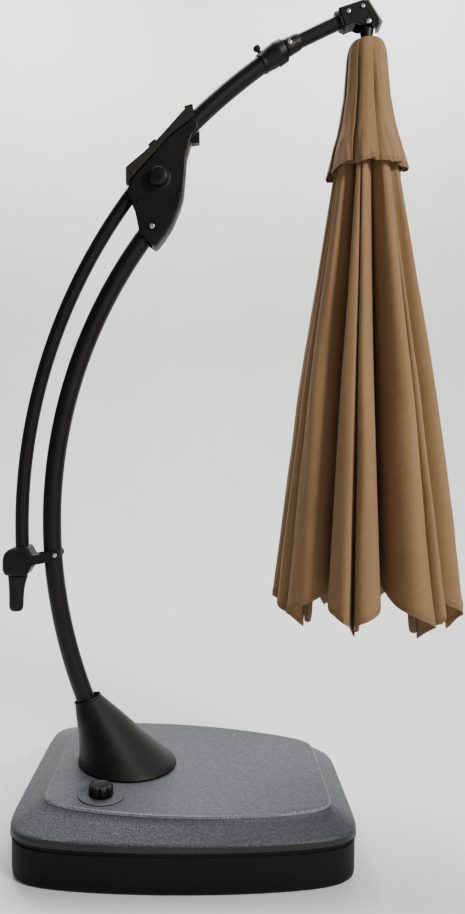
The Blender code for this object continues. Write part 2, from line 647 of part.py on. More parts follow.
def build_canopy():
    # yoke: a tapered neck with two ears, which hangs from the elbow's screws
    neck = [
        (0.0045, 2.3420), (0.0165, 2.3420), (0.0165, 2.3490), (0.0195, 2.3680), (0.0195, 2.3720), (0.0045, 2.3720),
    ]
    yoke = finish_mesh("neck_yoke", turned(neck, 16, (CANOPY_X, 0, 0), loop=True), "black_plastic", "hang_axis")
    ear = [(-0.0085, 2.3690), (0.0085, 2.3690), (0.0095, 2.3850), (0.0065, 2.3930), (0, 2.3955), (-0.0065, 2.3930),
           (-0.0095, 2.3850)]
    ears = bmesh.new()
    for y0, y1 in ((-0.0165, -0.0105), (0.0105, 0.0165)):
        prism([(CANOPY_X + x, z) for x, z in ear], y0, y1, ears)
    boolean(yoke, cutter("ears", ears), "UNION")
    boolean(yoke, cutter("cut_ears", cross_pin(*HANG, -0.05, 0.05, 0.0045)))

    hub = [
        (POLE_R + 0.0004, 2.2850), (0.0270, 2.2850), (0.0270, 2.3120), (0.0300, 2.3150), (0.0300, 2.3410),
        (POLE_R + 0.0004, 2.3410),
    ]
    finish_mesh("rib_hub", turned(hub, 16, (CANOPY_X, 0, 0), loop=True), "black_plastic", "hang_axis")
    pole = [(POLE_R - 0.0015, 0.800), (POLE_R, 0.800), (POLE_R, 2.3412), (POLE_R - 0.0015, 2.3412)]
    finish_mesh("canopy_pole", turned(pole, 12, (CANOPY_X, 0, 0), loop=True), "powder_coat", "hang_axis")
    runner = [
        (POLE_R + 0.0006, 0.826), (0.0230, 0.826), (0.0230, 0.838), (0.0320, 0.842), (0.0320, 0.858),
        (0.0200, 0.862), (0.0180, 0.874), (POLE_R + 0.0006, 0.874),
    ]
    finish_mesh("runner", turned(runner, 16, (CANOPY_X, 0, 0), loop=True), "black_plastic", "hang_axis")

    for k in range(RIBS):
        a = TAU * k / RIBS
        top, tip = around(*RIB_TOP, a), around(*RIB_TIP, a)
        rib = rod_between(top, tip, 0.008, 0.012, a)
        finish_mesh(f"rib_{k + 1}", rib, "powder_coat", "hang_axis", False)
        knee = around(0.0980, 1.555, a)
        foot = around(0.0400, RUNNER_Z + 0.004, a)
        strut = rod_between(knee, foot, 0.006, 0.009, a)
        finish_mesh(f"strut_{k + 1}", strut, "powder_coat", "hang_axis", False)

    main = [(2.255, 0.0660), (1.950, 0.1080), (1.300, 0.2020), (0.650, 0.2840)]
    finish_mesh("canopy_fabric", fabric_shell(main, 0.0015, 0.04), "fabric", "hang_axis")
    vent = [(2.3380, 0.0360), (2.3240, 0.0560), (2.2700, 0.0735), (2.1000, 0.0960), (1.9700, 0.1160)]
    finish_mesh("vent_fabric", fabric_shell(vent, 0.0015, 0.04), "fabric", "hang_axis")


def build_cords():
    """The lift cord runs inside the arm, over the pulley and down the pole to the runner."""
    over = PULLEY_R - 0.004 + CORD_R + 0.0006
    front = [p for p, _ in front_path(2.0)]
    inside = [p for p, _ in arc_path(ARM_CENTRE, ARM_R, 50.0, ARM_BEND_ANGLE, 2.5)] + front[1:-1]
    around_wheel = [
        Vector((PULLEY[0] + over * math.sin(a), 0, PULLEY[1] + over * math.cos(a)))
        for a in (math.radians(d) for d in (-15, 10, 35, 60, 90))
    ]
    points = inside + around_wheel + [Vector((PULLEY[0] + over, 0, HANG[1] + 0.012))]
    finish_mesh("lift_cord_arm", bar(with_directions(points), CORD_R, 6), "cord", "arm_axis")
    x = PULLEY[0] + over
    drop = [Vector((x, 0, HANG[1] + 0.0115)), Vector((CANOPY_X, 0, 2.352)), Vector((CANOPY_X, 0, 0.805))]
    finish_mesh("lift_cord_canopy", bar(with_directions(drop), CORD_R, 6), "cord", "hang_axis")


def with_directions(points):
    made = []
    for i, p in enumerate(points):
        before, after = points[max(i - 1, 0)], points[min(i + 1, len(points) - 1)]
        made.append((p, (after - before).normalized()))
    return made


# ---------------------------------------------------------------- assembly
clear_scene()
plunger_point, plunger_out = plunger_frame()
pivot("mast_axis", (0, 0, 0))
pivot("arm_axis", (ARM_CENTRE[0], 0, ARM_CENTRE[1]), "mast_axis")
pivot("hang_axis", (HANG[0], 0, HANG[1]), "arm_axis")
pivot("pulley_axis", (PULLEY[0], 0, PULLEY[1]), "arm_axis")
pivot("knob_axis", (KNOB[0], 0, KNOB[1]), "mast_axis")
pivot("trigger_axis", (TRIGGER_PIVOT[0], 0, TRIGGER_PIVOT[1]), "mast_axis")
pivot("plunger_axis", plunger_point, "mast_axis")
pivot("filler_axis", (*FILLER, PLATEAU_Z))
pivot("drain_axis", (DRAIN_X, -0.12, 0.050))

BOLT_HOLES = bolt_hole_cutter()
PLUNGER_HOLE = cutter(
    "cut_plunger", turned([(0.0035, 0.0225), (0.0035, 0.0500)], 12, plunger_point, plunger_out)
)
build_base()
build_filler_cap()
build_mast_foot()
build_mast()
build_housing()
build_guide()
build_controls()
build_arm()
build_canopy()
build_cords()
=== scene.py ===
"""Looks of the cantilever parasol: fine surfaces, folded cloth, materials, light and camera.

Everything is in metres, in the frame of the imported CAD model: the origin is on the floor, on the
mast's swivel axis, +X points to the canopy and +Z is up. The near side is at negative y.
"""

import math

import bmesh
import bpy
from mathutils import Matrix, Vector, noise


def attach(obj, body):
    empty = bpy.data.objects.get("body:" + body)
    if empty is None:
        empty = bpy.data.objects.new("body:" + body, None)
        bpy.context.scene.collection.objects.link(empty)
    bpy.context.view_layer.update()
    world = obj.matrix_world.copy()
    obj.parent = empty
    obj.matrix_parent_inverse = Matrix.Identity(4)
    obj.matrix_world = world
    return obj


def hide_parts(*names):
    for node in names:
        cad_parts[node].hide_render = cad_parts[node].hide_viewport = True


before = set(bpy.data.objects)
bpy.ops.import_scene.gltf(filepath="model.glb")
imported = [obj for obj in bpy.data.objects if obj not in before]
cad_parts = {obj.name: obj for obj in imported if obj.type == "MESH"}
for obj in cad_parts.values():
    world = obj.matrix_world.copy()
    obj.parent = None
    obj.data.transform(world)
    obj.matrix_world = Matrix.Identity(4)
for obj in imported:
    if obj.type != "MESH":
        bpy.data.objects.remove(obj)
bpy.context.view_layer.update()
TAU = 2 * math.pi

# ---------------------------------------------------------------- places that repeat the CAD's
MAST_CENTRE = (1.228, 0.91)    # x, z
MAST_R = 1.462
MAST_TUBE_R = 0.029
MAST_WALL = 0.002
MAST_FOOT_Z = 0.217
MAST_HEAD_ANGLE = 40.0

ARM_CENTRE = (1.358, 0.896)
ARM_R = 1.687
ARM_TUBE_R = 0.0215
ARM_WALL = 0.002
ARM_FOOT_ANGLE = -3.0
ARM_BEND_ANGLE = 57.3
ARM_FRONT_R = 0.435
ARM_FRONT_TURN = 9.5
ARM_FRONT_STRAIGHT = 0.169

GUIDE_TUBE_R = 0.028
GUIDE_WALL = 0.002
GUIDE_START = 45.5
GUIDE_END = 57.1

PLATEAU_Z = 0.177
SKIRT_Z = 0.127
SEAM_Z = 0.107
COLLAR_R = 0.147
FILLER = (-0.048, -0.231)
DRAIN = (-0.287, -0.12, 0.05)

SHELL_HALF = 0.037
CHEEK = 0.004
MAST_BOLT = (0.0795, 1.8045)
SHELL_BOLTS = ((0.0374, 1.88), (0.1585, 1.899))
KNOB = (0.1, 1.9475)

HANG = (0.713, 2.385)
CANOPY_X = 0.713
PULLEY = (0.6965, 2.43)
RIBS = 8


# ---------------------------------------------------------------- node materials
def socket(node, name):
    return next(s for s in node.inputs if s.name == name and s.enabled)


class Paint:
    """Short ways to build one material's nodes."""

    def __init__(self, name, roughness, metallic=0.0, **constants):
        self.material = bpy.data.materials.new(name)
        self.material.use_nodes = True
        self.tree = self.material.node_tree
        self.shader = self.tree.nodes["Principled BSDF"]
        self.shader.inputs["Metallic"].default_value = metallic
        self.shader.inputs["Roughness"].default_value = roughness
        for key, value in constants.items():
            self.shader.inputs[key.replace("_", " ")].default_value = value
        self.object_place = self.node("ShaderNodeTexCoord").outputs["Object"]

    def node(self, kind, **settings):
        made = self.tree.nodes.new(kind)
        for key, value in settings.items():
            setattr(made, key, value)
        return made

    def link(self, start, end):
        self.tree.links.new(start, end)

    def noise(self, scale, detail=3.0, roughness=0.5, place=None, stretch=None):
        source = place or self.object_place
        if stretch:
            mapping = self.node("ShaderNodeMapping")
            mapping.inputs["Scale"].default_value = stretch
            self.link(source, mapping.inputs["Vector"])
            source = mapping.outputs["Vector"]
        made = self.node("ShaderNodeTexNoise")
        made.inputs["Scale"].default_value = scale
        made.inputs["Detail"].default_value = detail
        made.inputs["Roughness"].default_value = roughness
        self.link(source, made.inputs["Vector"])
        return made.outputs["Fac"]

    def ramp(self, value, *stops):
        """Maps a value through (position, colour) stops. A colour may be one grey number."""
        made = self.node("ShaderNodeValToRGB")
        elements = made.color_ramp.elements
        while len(elements) < len(stops):
            elements.new(0.5)
        for element, (position, colour) in zip(elements, stops):
            element.position = position
            rgb = (colour,) * 3 if isinstance(colour, float) else colour
            element.color = (*rgb, 1.0)
        self.link(value, made.inputs["Fac"])
        return made.outputs["Color"]

    def mix(self, factor, a, b, blend="MIX"):
        made = self.node("ShaderNodeMix", data_type="RGBA", blend_type=blend)
        for name, value in (("Factor", factor), ("A", a), ("B", b)):
            target = socket(made, name)
            if isinstance(value, bpy.types.NodeSocket):
                self.link(value, target)
            elif name == "Factor":
                target.default_value = value
            else:
                target.default_value = (*value, 1.0)
        return next(o for o in made.outputs if o.enabled)

    def math(self, operation, a, b=0.0, clamp=False):
        made = self.node("ShaderNodeMath", operation=operation, use_clamp=clamp)
        for target, value in zip(made.inputs, (a, b)):
            if isinstance(value, bpy.types.NodeSocket):
                self.link(value, target)
            else:
                target.default_value = value
        return made.outputs[0]

    def bump(self, height, strength, distance, after=None):
        made = self.node("ShaderNodeBump")
        made.inputs["Strength"].default_value = strength
        made.inputs["Distance"].default_value = distance
        self.link(height, made.inputs["Height"])
        if after:
            self.link(after, made.inputs["Normal"])
        return made.outputs["Normal"]

    def finish(self, colour=None, roughness=None, normal=None):
        for name, value in (("Base Color", colour), ("Roughness", roughness), ("Normal", normal)):
            if value is not None:
                self.link(value, self.shader.inputs[name])
        return self.material


def powder_coat():
    """Satin black paint with a fine orange peel, a little dust and scuffs."""
    p = Paint("powder_coat", 0.38, Specular_IOR_Level=0.24)
    peel = p.noise(900.0, 2.0)
    patches = p.noise(9.0, 5.0, 0.6)
    scuffs = p.noise(60.0, 6.0, 0.7, stretch=(1.0, 1.0, 0.15))
    dark = p.ramp(patches, (0.3, (0.0022, 0.0018, 0.0014)), (0.8, (0.0042, 0.0034, 0.0027)))
    marks = p.ramp(scuffs, (0.62, 0.0), (0.78, 0.5))
    colour = p.mix(marks, dark, (0.01, 0.008, 0.007))
    return p.finish(colour, p.ramp(patches, (0.25, 0.34), (0.8, 0.5)), p.bump(peel, 0.25, 0.0004))


def mottled(name, cloud, colours, gloss, bump, grain=None, stretch=None, roughness=0.5, metallic=0.0, **more):
    """A finish whose colour and gloss drift with one cloudy noise, over the bumps of a finer grain.

    cloud and grain are a noise's scale, detail and roughness, colours and gloss are (low, high, the
    noise value that gives high), and bump is (strength, distance)."""
    p = Paint(name, roughness, metallic, **more)
    height = p.noise(*grain, stretch=stretch) if grain else None
    patches = p.noise(*cloud)
    colour = p.ramp(patches, (0.3, colours[0]), (colours[2], colours[1]))
    dull = p.ramp(patches, (0.3, gloss[0]), (gloss[2], gloss[1]))
    return p.finish(colour, dull, p.bump(height or patches, *bump))


def base_plastic(name, low, high, roughness, speck, shine=0.35):
    """Blow-moulded plastic with a coarse grain. Its upward faces get a painted top light, a pale grey-blue,
    and the plateau's rounded edge gets a painted highlight.
    """
    p = Paint(name, roughness, Specular_IOR_Level=shine)
    peel = p.noise(190.0, 3.0, 0.6)
    fine = p.noise(950.0, 2.0)
    cloud = p.noise(5.0, 4.0, 0.6)
    cloud_tone = p.ramp(cloud, (0.3, low), (0.75, high))
    normals = p.node("ShaderNodeSeparateXYZ")
    p.link(p.node("ShaderNodeTexCoord").outputs["Normal"], normals.inputs[0])
    places = p.node("ShaderNodeSeparateXYZ")
    p.link(p.object_place, places.inputs[0])
    # painted top light: the more a face points up, the more of the pale grey-blue it takes
    upward = p.ramp(normals.outputs["Z"], (0.2, 0.0), (0.62, 0.45), (0.97, 0.74))
    painted_top_light = p.mix(upward, cloud_tone, (0.053, 0.057, 0.067)) if speck > 0.1 else cloud_tone
    # painted highlight: a light grey band along the plateau's rounded edge, where the upper faces turn down
    high_enough = p.math("GREATER_THAN", places.outputs["Z"], PLATEAU_Z - 0.0065)
    rounded_off = p.ramp(normals.outputs["Z"], (0.25, 0.0), (0.55, 1.0), (0.93, 0.9), (0.985, 0.0))
    painted_edge_highlight = p.math("MULTIPLY", p.math("MULTIPLY", high_enough, rounded_off), 0.75 if speck > 0.1 else 0.0)
    edge_highlighted = p.mix(painted_edge_highlight, painted_top_light, (0.17, 0.18, 0.2))
    specks = p.ramp(peel, (0.48, 0.0), (0.62, speck))
    dark_specks = p.ramp(peel, (0.34, speck * 0.7), (0.46, 0.0))
    lit = p.mix(specks, edge_highlighted, (2.3, 2.3, 2.35), "MULTIPLY")
    colour = p.mix(dark_specks, lit, (0.35, 0.35, 0.36), "MULTIPLY")
    normal = p.bump(fine, 0.2, 0.0004, p.bump(peel, 0.6, 0.003))
    gloss = p.ramp(peel, (0.3, roughness + 0.1), (0.7, roughness - 0.06))
    return p.finish(colour, gloss, normal)


def cord_material():
    """White braided cord: crossed strands by two slanted waves."""
    p = Paint("cord_braid", 0.8)
    waves = []
    for slant in (0.6, -0.6):
        mapping = p.node("ShaderNodeMapping")
        mapping.inputs["Rotation"].default_value = (0.0, slant, slant)
        p.link(p.object_place, mapping.inputs["Vector"])
        wave = p.node("ShaderNodeTexWave", bands_direction="Z")
        wave.inputs["Scale"].default_value = 260.0
        p.link(mapping.outputs["Vector"], wave.inputs["Vector"])
        waves.append(wave.outputs["Fac"])
    braid = p.math("MAXIMUM", *waves)
    colour = p.ramp(braid, (0.2, (0.45, 0.44, 0.4)), (0.8, (0.78, 0.77, 0.72)))
    return p.finish(colour, p.ramp(braid, (0.0, 0.7), (1.0, 0.9)), p.bump(braid, 0.5, 0.0006))


def canvas(name, tint=1.0):
    """Tan woven polyester: a two-way weave, sun-faded patches, puckered stitching and a soft sheen.

    It reads the cloth attribute: x is the distance from the nearest rib seam and y the distance
    from the hem, both along the cloth, and z the length round the hem."""
    p = Paint(name, 0.82, Sheen_Weight=0.1, Sheen_Roughness=0.5, Sheen_Tint=(0.95, 0.8, 0.62, 1.0))
    attribute = p.node("ShaderNodeAttribute", attribute_name="cloth")
    cloth = attribute.outputs["Vector"]
    split = p.node("ShaderNodeSeparateXYZ")
    p.link(cloth, split.inputs[0])
    seam, hem, round_it = split.outputs

    turned = p.node("ShaderNodeCombineXYZ")
    p.link(round_it, turned.inputs["X"])
    p.link(hem, turned.inputs["Y"])
    weave_place = turned.outputs["Vector"]

    def waves(direction, **inputs):
        wave = p.node("ShaderNodeTexWave", bands_direction=direction)
        for key, value in inputs.items():
            wave.inputs[key].default_value = value
        p.link(weave_place, wave.inputs["Vector"])
        return wave.outputs["Fac"]

    weave = p.math("MULTIPLY", *(waves(way, Scale=330.0, Distortion=0.6, Detail=1.0) for way in "XY"))

    faded = p.noise(3.2, 5.0, 0.6)
    slub = p.noise(55.0, 4.0, 0.7, place=weave_place, stretch=(1.0, 0.08, 1.0))

    def tinted(*colour):
        return tuple(c * tint for c in colour)

    base = p.ramp(
        faded, (0.3, tinted(0.205, 0.111, 0.04)), (0.55, tinted(0.235, 0.13, 0.049)),
        (0.78, tinted(0.272, 0.155, 0.063)),
    )
    threaded = p.mix(p.ramp(weave, (0.0, 0.3), (0.5, 0.0)), base, tinted(0.11, 0.058, 0.022))
    streaked = p.mix(p.ramp(slub, (0.45, 0.0), (0.85, 0.35)), threaded, tinted(0.3, 0.178, 0.08))

    def line_at(value, place, half):
        """1 on a line at that distance, 0 away from it."""
        away = p.math("ABSOLUTE", p.math("SUBTRACT", value, place))
        return p.math("SUBTRACT", 1.0, p.math("DIVIDE", away, half), clamp=True)

    dashes_round, dashes_down = (p.math("GREATER_THAN", waves(way, Scale=42.0), 0.25) for way in "XY")
    seam_stitch = p.math("MULTIPLY", line_at(seam, 0.005, 0.0014), dashes_down)
    hem_stitch = p.math("MULTIPLY", line_at(hem, 0.018, 0.0014), dashes_round)
    stitches = p.math("MAXIMUM", seam_stitch, hem_stitch)
    seam_groove = line_at(seam, 0.0, 0.0022)
    hem_step = line_at(hem, 0.02, 0.002)
    grooves = p.math("MAXIMUM", seam_groove, hem_step)
    sewn = p.mix(p.math("MULTIPLY", grooves, 0.3), streaked, tinted(0.12, 0.065, 0.03))
    colour = p.mix(p.math("MULTIPLY", stitches, 0.12), sewn, tinted(0.5, 0.36, 0.2))

    pucker = p.noise(45.0, 3.0, place=weave_place, stretch=(1.0, 1.0, 1.0))
    near_seam = p.ramp(p.math("MINIMUM", seam, hem), (0.0, 1.0), (0.045, 0.0))
    puckers = p.math("MULTIPLY", pucker, near_seam)
    relief = p.math("SUBTRACT", p.math("ADD", stitches, puckers), grooves)
    crumple = p.noise(14.0, 4.0, 0.55)
    normal = p.bump(crumple, 0.35, 0.01)
    normal = p.bump(relief, 0.5, 0.0012, normal)
    normal = p.bump(weave, 0.35, 0.0005, normal)
    return p.finish(colour, p.ramp(faded, (0.3, 0.76), (0.7, 0.9)), normal)


FINISHES = {
    "powder_coat": powder_coat(),
    # moulded, with a fine spark texture and slightly shinier worn patches
    "black_plastic": mottled(
        "black_plastic", (16.0, 4.0, 0.6), ((0.0028, 0.0025, 0.0022), (0.0056, 0.005, 0.0044), 0.75),
        (0.42, 0.58, 0.75), (0.3, 0.0003), (1400.0, 2.0), roughness=0.46, Specular_IOR_Level=0.22,
    ),
    # warm dark grey, on the housing's strip: lighter than the shells' plastic, as painted top light on its
    # upturned faces
    "cover_plastic": mottled(
        "cover_plastic", (14.0, 5.0, 0.65), ((0.0095, 0.0082, 0.0055), (0.0165, 0.0145, 0.01), 0.75),
        (0.42, 0.6, 0.8), (0.3, 0.0003), (1100.0, 2.0), Specular_IOR_Level=0.35,
    ),
    # mottled grey-brown, at the elbow's end: the strip's plastic, painted much lighter as painted light from
    # above
    "end_plate": mottled(
        "end_plate", (40.0, 5.0, 0.65), ((0.085, 0.078, 0.066), (0.15, 0.138, 0.118), 0.75),
        (0.36, 0.55, 0.8), (0.3, 0.0003), (900.0, 2.0), roughness=0.45,
    ),
    # the cover's copy of the base's one black plastic, made lighter as painted top light
    "base_plastic": base_plastic(
        "base_plastic", (0.0045, 0.0048, 0.0056), (0.0075, 0.008, 0.0092), 0.4, 0.55,
    ),
    # the tank's copy of the same black plastic, made darker and duller as painted shade
    "tank_plastic": base_plastic(
        "tank_plastic", (0.0012, 0.0013, 0.0012), (0.0022, 0.0024, 0.0022), 0.55, 0.05, 0.14,
    ),
    # zinc-plated, with fine scratches and dull patches
    "steel": mottled(
        "steel", (120.0, 4.0, 0.6), ((0.42, 0.41, 0.39), (0.66, 0.65, 0.62), 0.7), (0.28, 0.46, 0.7),
        (0.2, 0.0002), (700.0, 3.0, 0.6), stretch=(1.0, 0.06, 1.0), roughness=0.3, metallic=1.0,
    ),
    # a tarnished brass-coloured screw
    "copper": mottled(
        "tarnished_brass", (160.0, 4.0, 0.6), ((0.06, 0.025, 0.014), (0.12, 0.055, 0.03), 0.7),
        (0.38, 0.55, 0.7), (0.2, 0.0002), roughness=0.45, metallic=1.0,
    ),
    # sand-cast
    "aluminium": mottled(
        "aluminium", (40.0, 3.0), ((0.48, 0.48, 0.49), (0.62, 0.62, 0.63), 0.7), (0.42, 0.58, 0.7),
        (0.4, 0.0004), (800.0, 4.0, 0.6), metallic=1.0,
    ),
    # natural, slightly milky and mottled
    "nylon": mottled(
        "nylon", (90.0, 4.0, 0.6), ((0.5, 0.49, 0.45), (0.64, 0.63, 0.59), 0.7), (0.36, 0.5, 0.7),
        (0.15, 0.0003), roughness=0.42, Subsurface_Weight=0.05,
    ),
    "cord": cord_material(),
    "fabric": canvas("fabric"),
    # the hem binding and rib pockets: the same cloth, made darker by a tint of 0.8
    "fabric_hem": canvas("fabric_hem", 0.8),
}
SLOTS = {name: name for name in FINISHES}
SLOTS |= {
    "tank_plastic": "base_plastic", "fabric_hem": "fabric", "copper": "steel", "end_plate": "cover_plastic",
}


# ---------------------------------------------------------------- mesh helpers
def finish_mesh(name, bm, finish, body, replaces=(), bevel=0.0, segments=3, angle=35.0, closed=True):
    """Turns a bmesh in the row frame into a piece that rides on a body."""
    bmesh.ops.remove_doubles(bm, verts=bm.verts, dist=1e-6)
    if closed:
        bmesh.ops.recalc_face_normals(bm, faces=bm.faces)
        if bm.calc_volume(signed=True) < 0:
            bmesh.ops.reverse_faces(bm, faces=bm.faces)
    mesh = bpy.data.meshes.new(name)
    bm.to_mesh(mesh)
    bm.free()
    made = bpy.data.objects.new(name, mesh)
    bpy.context.scene.collection.objects.link(made)
    if bevel:
        add_bevel(made, bevel, segments, angle)
    mesh.shade_smooth()
    mesh.set_sharp_from_angle(angle=math.radians(angle))
    mesh.materials.append(FINISHES[finish])
    if body:
        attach(made, body)
    if replaces:
        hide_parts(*replaces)
    return made


def add_bevel(made, width, segments=3, angle=35.0):
    bevel = made.modifiers.new("edges", "BEVEL")
    bevel.width = width
    bevel.segments = segments
    bevel.limit_method = "ANGLE"
    bevel.angle_limit = math.radians(angle)
    bevel.harden_normals = False


def carve(made, *tools, operation="DIFFERENCE"):
    """Applies the piece's modifiers, then cuts it with each closed bmesh."""
    for bm in tools:
        tool = finish_mesh("tool", bm, "black_plastic", None)
        cut = made.modifiers.new("cut", "BOOLEAN")
        cut.operation = operation
        cut.object = tool
        cut.solver = "EXACT"
        bpy.context.view_layer.update()
        result = bpy.data.meshes.new_from_object(made.evaluated_get(bpy.context.evaluated_depsgraph_get()))
        old = made.data
        made.modifiers.clear()
        made.data = result
        result.name = old.name
        bpy.data.meshes.remove(old)
        tool_mesh = tool.data
        bpy.data.objects.remove(tool)
        bpy.data.meshes.remove(tool_mesh)
    made.data.shade_smooth()
    made.data.set_sharp_from_angle(angle=math.radians(35))
    return made


def add_rings(bm, rings, caps=True, loop=False):
    """Skins a list of rings, each a list of points with the same count."""
    made = [[bm.verts.new(p) for p in ring] for ring in rings]
    count = len(made[0])
    pairs = list(zip(made, made[1:]))
    if loop:
        pairs.append((made[-1], made[0]))
    for low, high in pairs:
        for i in range(count):
            j = (i + 1) % count
            bm.faces.new((low[i], low[j], high[j], high[i]))
    if caps and not loop:
        bm.faces.new(list(reversed(made[0])))
        bm.faces.new(made[-1])
    return bm


def skin(rings, **settings):
    return add_rings(bmesh.new(), rings, **settings)


def ring_at(centre, along, radius, sides):
    """A ring of points square to along. radius is a number or a function of the angle from +Y."""
    along = Vector(along).normalized()
    side = Vector((0, 1, 0)) if abs(along.y) < 0.9 else Vector((1, 0, 0))
    up = side.cross(along).normalized()
    side = along.cross(up)
    made = []
    for i in range(sides):
        a = TAU * i / sides
        r = radius(a) if callable(radius) else radius
        made.append(Vector(centre) + r * (math.cos(a) * side + math.sin(a) * up))
    return made


def tube(path, outer, inner, sides):
    rings = [ring_at(p, d, outer, sides) for p, d in path]
    rings += [ring_at(p, d, inner, sides) for p, d in reversed(path)]
    return skin(rings, loop=True)


def bar(path, radius, sides=32):
    return skin([ring_at(p, d, radius, sides) for p, d in path])


def turned(profile, sides=64, base=(0, 0, 0), axis=(0, 0, 1), loop=False):
    """Turns a profile of (radius, distance along the axis)."""
    axis = Vector(axis).normalized()
    return skin([ring_at(Vector(base) + axis * h, axis, r, sides) for r, h in profile], loop=loop)


def lofted(levels):
    """Skins (outline, y) levels. An outline is a list of (x, z)."""
    return skin([[Vector((x, y, z)) for x, z in outline] for outline, y in levels])


def prism(outline, y0, y1):
    return lofted([(outline, y0), (outline, y1)])


def rounded(outline, radius, steps=5):
    """The outline with each corner turned into an arc, smaller where the sides are short."""
    made = []
    count = len(outline)
    for i in range(count):
        before, here, after = (Vector(outline[j % count]) for j in (i - 1, i, i + 1))
        back, on = before - here, after - here
        reach = min(radius, back.length * 0.45, on.length * 0.45)
        start, end = here + back.normalized() * reach, here + on.normalized() * reach
        for k in range(steps + 1):
            t = k / steps
            made.append(tuple(start * (1 - t) ** 2 + here * 2 * t * (1 - t) + end * t * t))
    return made


def arc_point(centre, radius, degrees):
    a = math.radians(degrees)
    point = Vector((centre[0] - radius * math.cos(a), 0, centre[1] + radius * math.sin(a)))
    return point, Vector((math.sin(a), 0, math.cos(a)))


def arc_path(centre, radius, start, end, step=1.0):
    count = max(1, round(abs(end - start) / step))
    return [arc_point(centre, radius, start + (end - start) * i / count) for i in range(count + 1)]


def front_centre():
    start, along = arc_point(ARM_CENTRE, ARM_R, ARM_BEND_ANGLE)
    return (start.x + along.z * ARM_FRONT_R, start.z - along.x * ARM_FRONT_R)


def front_path(step=1.0):
    bend = arc_path(front_centre(), ARM_FRONT_R, ARM_BEND_ANGLE, ARM_BEND_ANGLE + ARM_FRONT_TURN, step)
    point, along = bend[-1]
    half = ARM_FRONT_STRAIGHT / 2
    return bend + [(point + along * half, along), (point + along * 2 * half, along)]


def turned_on_arc(profile, sides, centre, radius, degrees):
    """A ring round a curved tube: its profile is (radius, distance along the tube's arc)."""
    places = [(r, *arc_point(centre, radius, degrees + math.degrees(h / radius))) for r, h in profile]
    return skin([ring_at(point, along, r, sides) for r, point, along in places], loop=True)


def screw_head(name, place, axis, radius, height, body, finish="steel", replaces=()):
    """A pan head with a hexagon socket."""
    shares = [(0.99, 0), (1.0, 0.3), (0.93, 0.75), (0.72, 1.0)]
    profile = [(radius * wide, height * high) for wide, high in shares]
    made = finish_mesh(name, turned(profile, 32, place, axis), finish, body, replaces)
    hexagon = turned([(radius * 0.42, height * 0.35), (radius * 0.42, height * 1.5)], 6, place, axis)
    return carve(made, hexagon)


# ---------------------------------------------------------------- base
def base_ring(z, inset, plateau, sides=200):
    """One level of the base: a bulging trapezoid, wider at the mast's end."""
    def mix(a, b):
        return a + (b - a) * plateau

    x0, x1 = mix(-0.29, -0.205) + inset, mix(0.645, 0.58) - inset
    half0, half1 = mix(0.393, 0.288) - inset, mix(0.289, 0.23) - inset
    bulge = mix(0.044, 0.063)
    power = mix(9.0, 12.0)
    middle, reach = (x0 + x1) / 2, (x1 - x0) / 2

    def outside(x, y):
        t = min(max((x - x0) / (x1 - x0), 0.0), 1.0)
        half = half0 + (half1 - half0) * t + 4 * bulge * t * (1 - t)
        return abs((x - middle) / reach) ** power + abs(y / half) ** power > 1

    ring = []
    for i in range(sides):
        a = TAU * (i + 0.5) / sides
        low, high = 0.0, 1.0
        for _ in range(30):
            r = (low + high) / 2
            if outside(middle + r * math.cos(a), r * math.sin(a)):
                high = r
            else:
                low = r
        ring.append(Vector((middle + low * math.cos(a), low * math.sin(a), z)))
    return ring


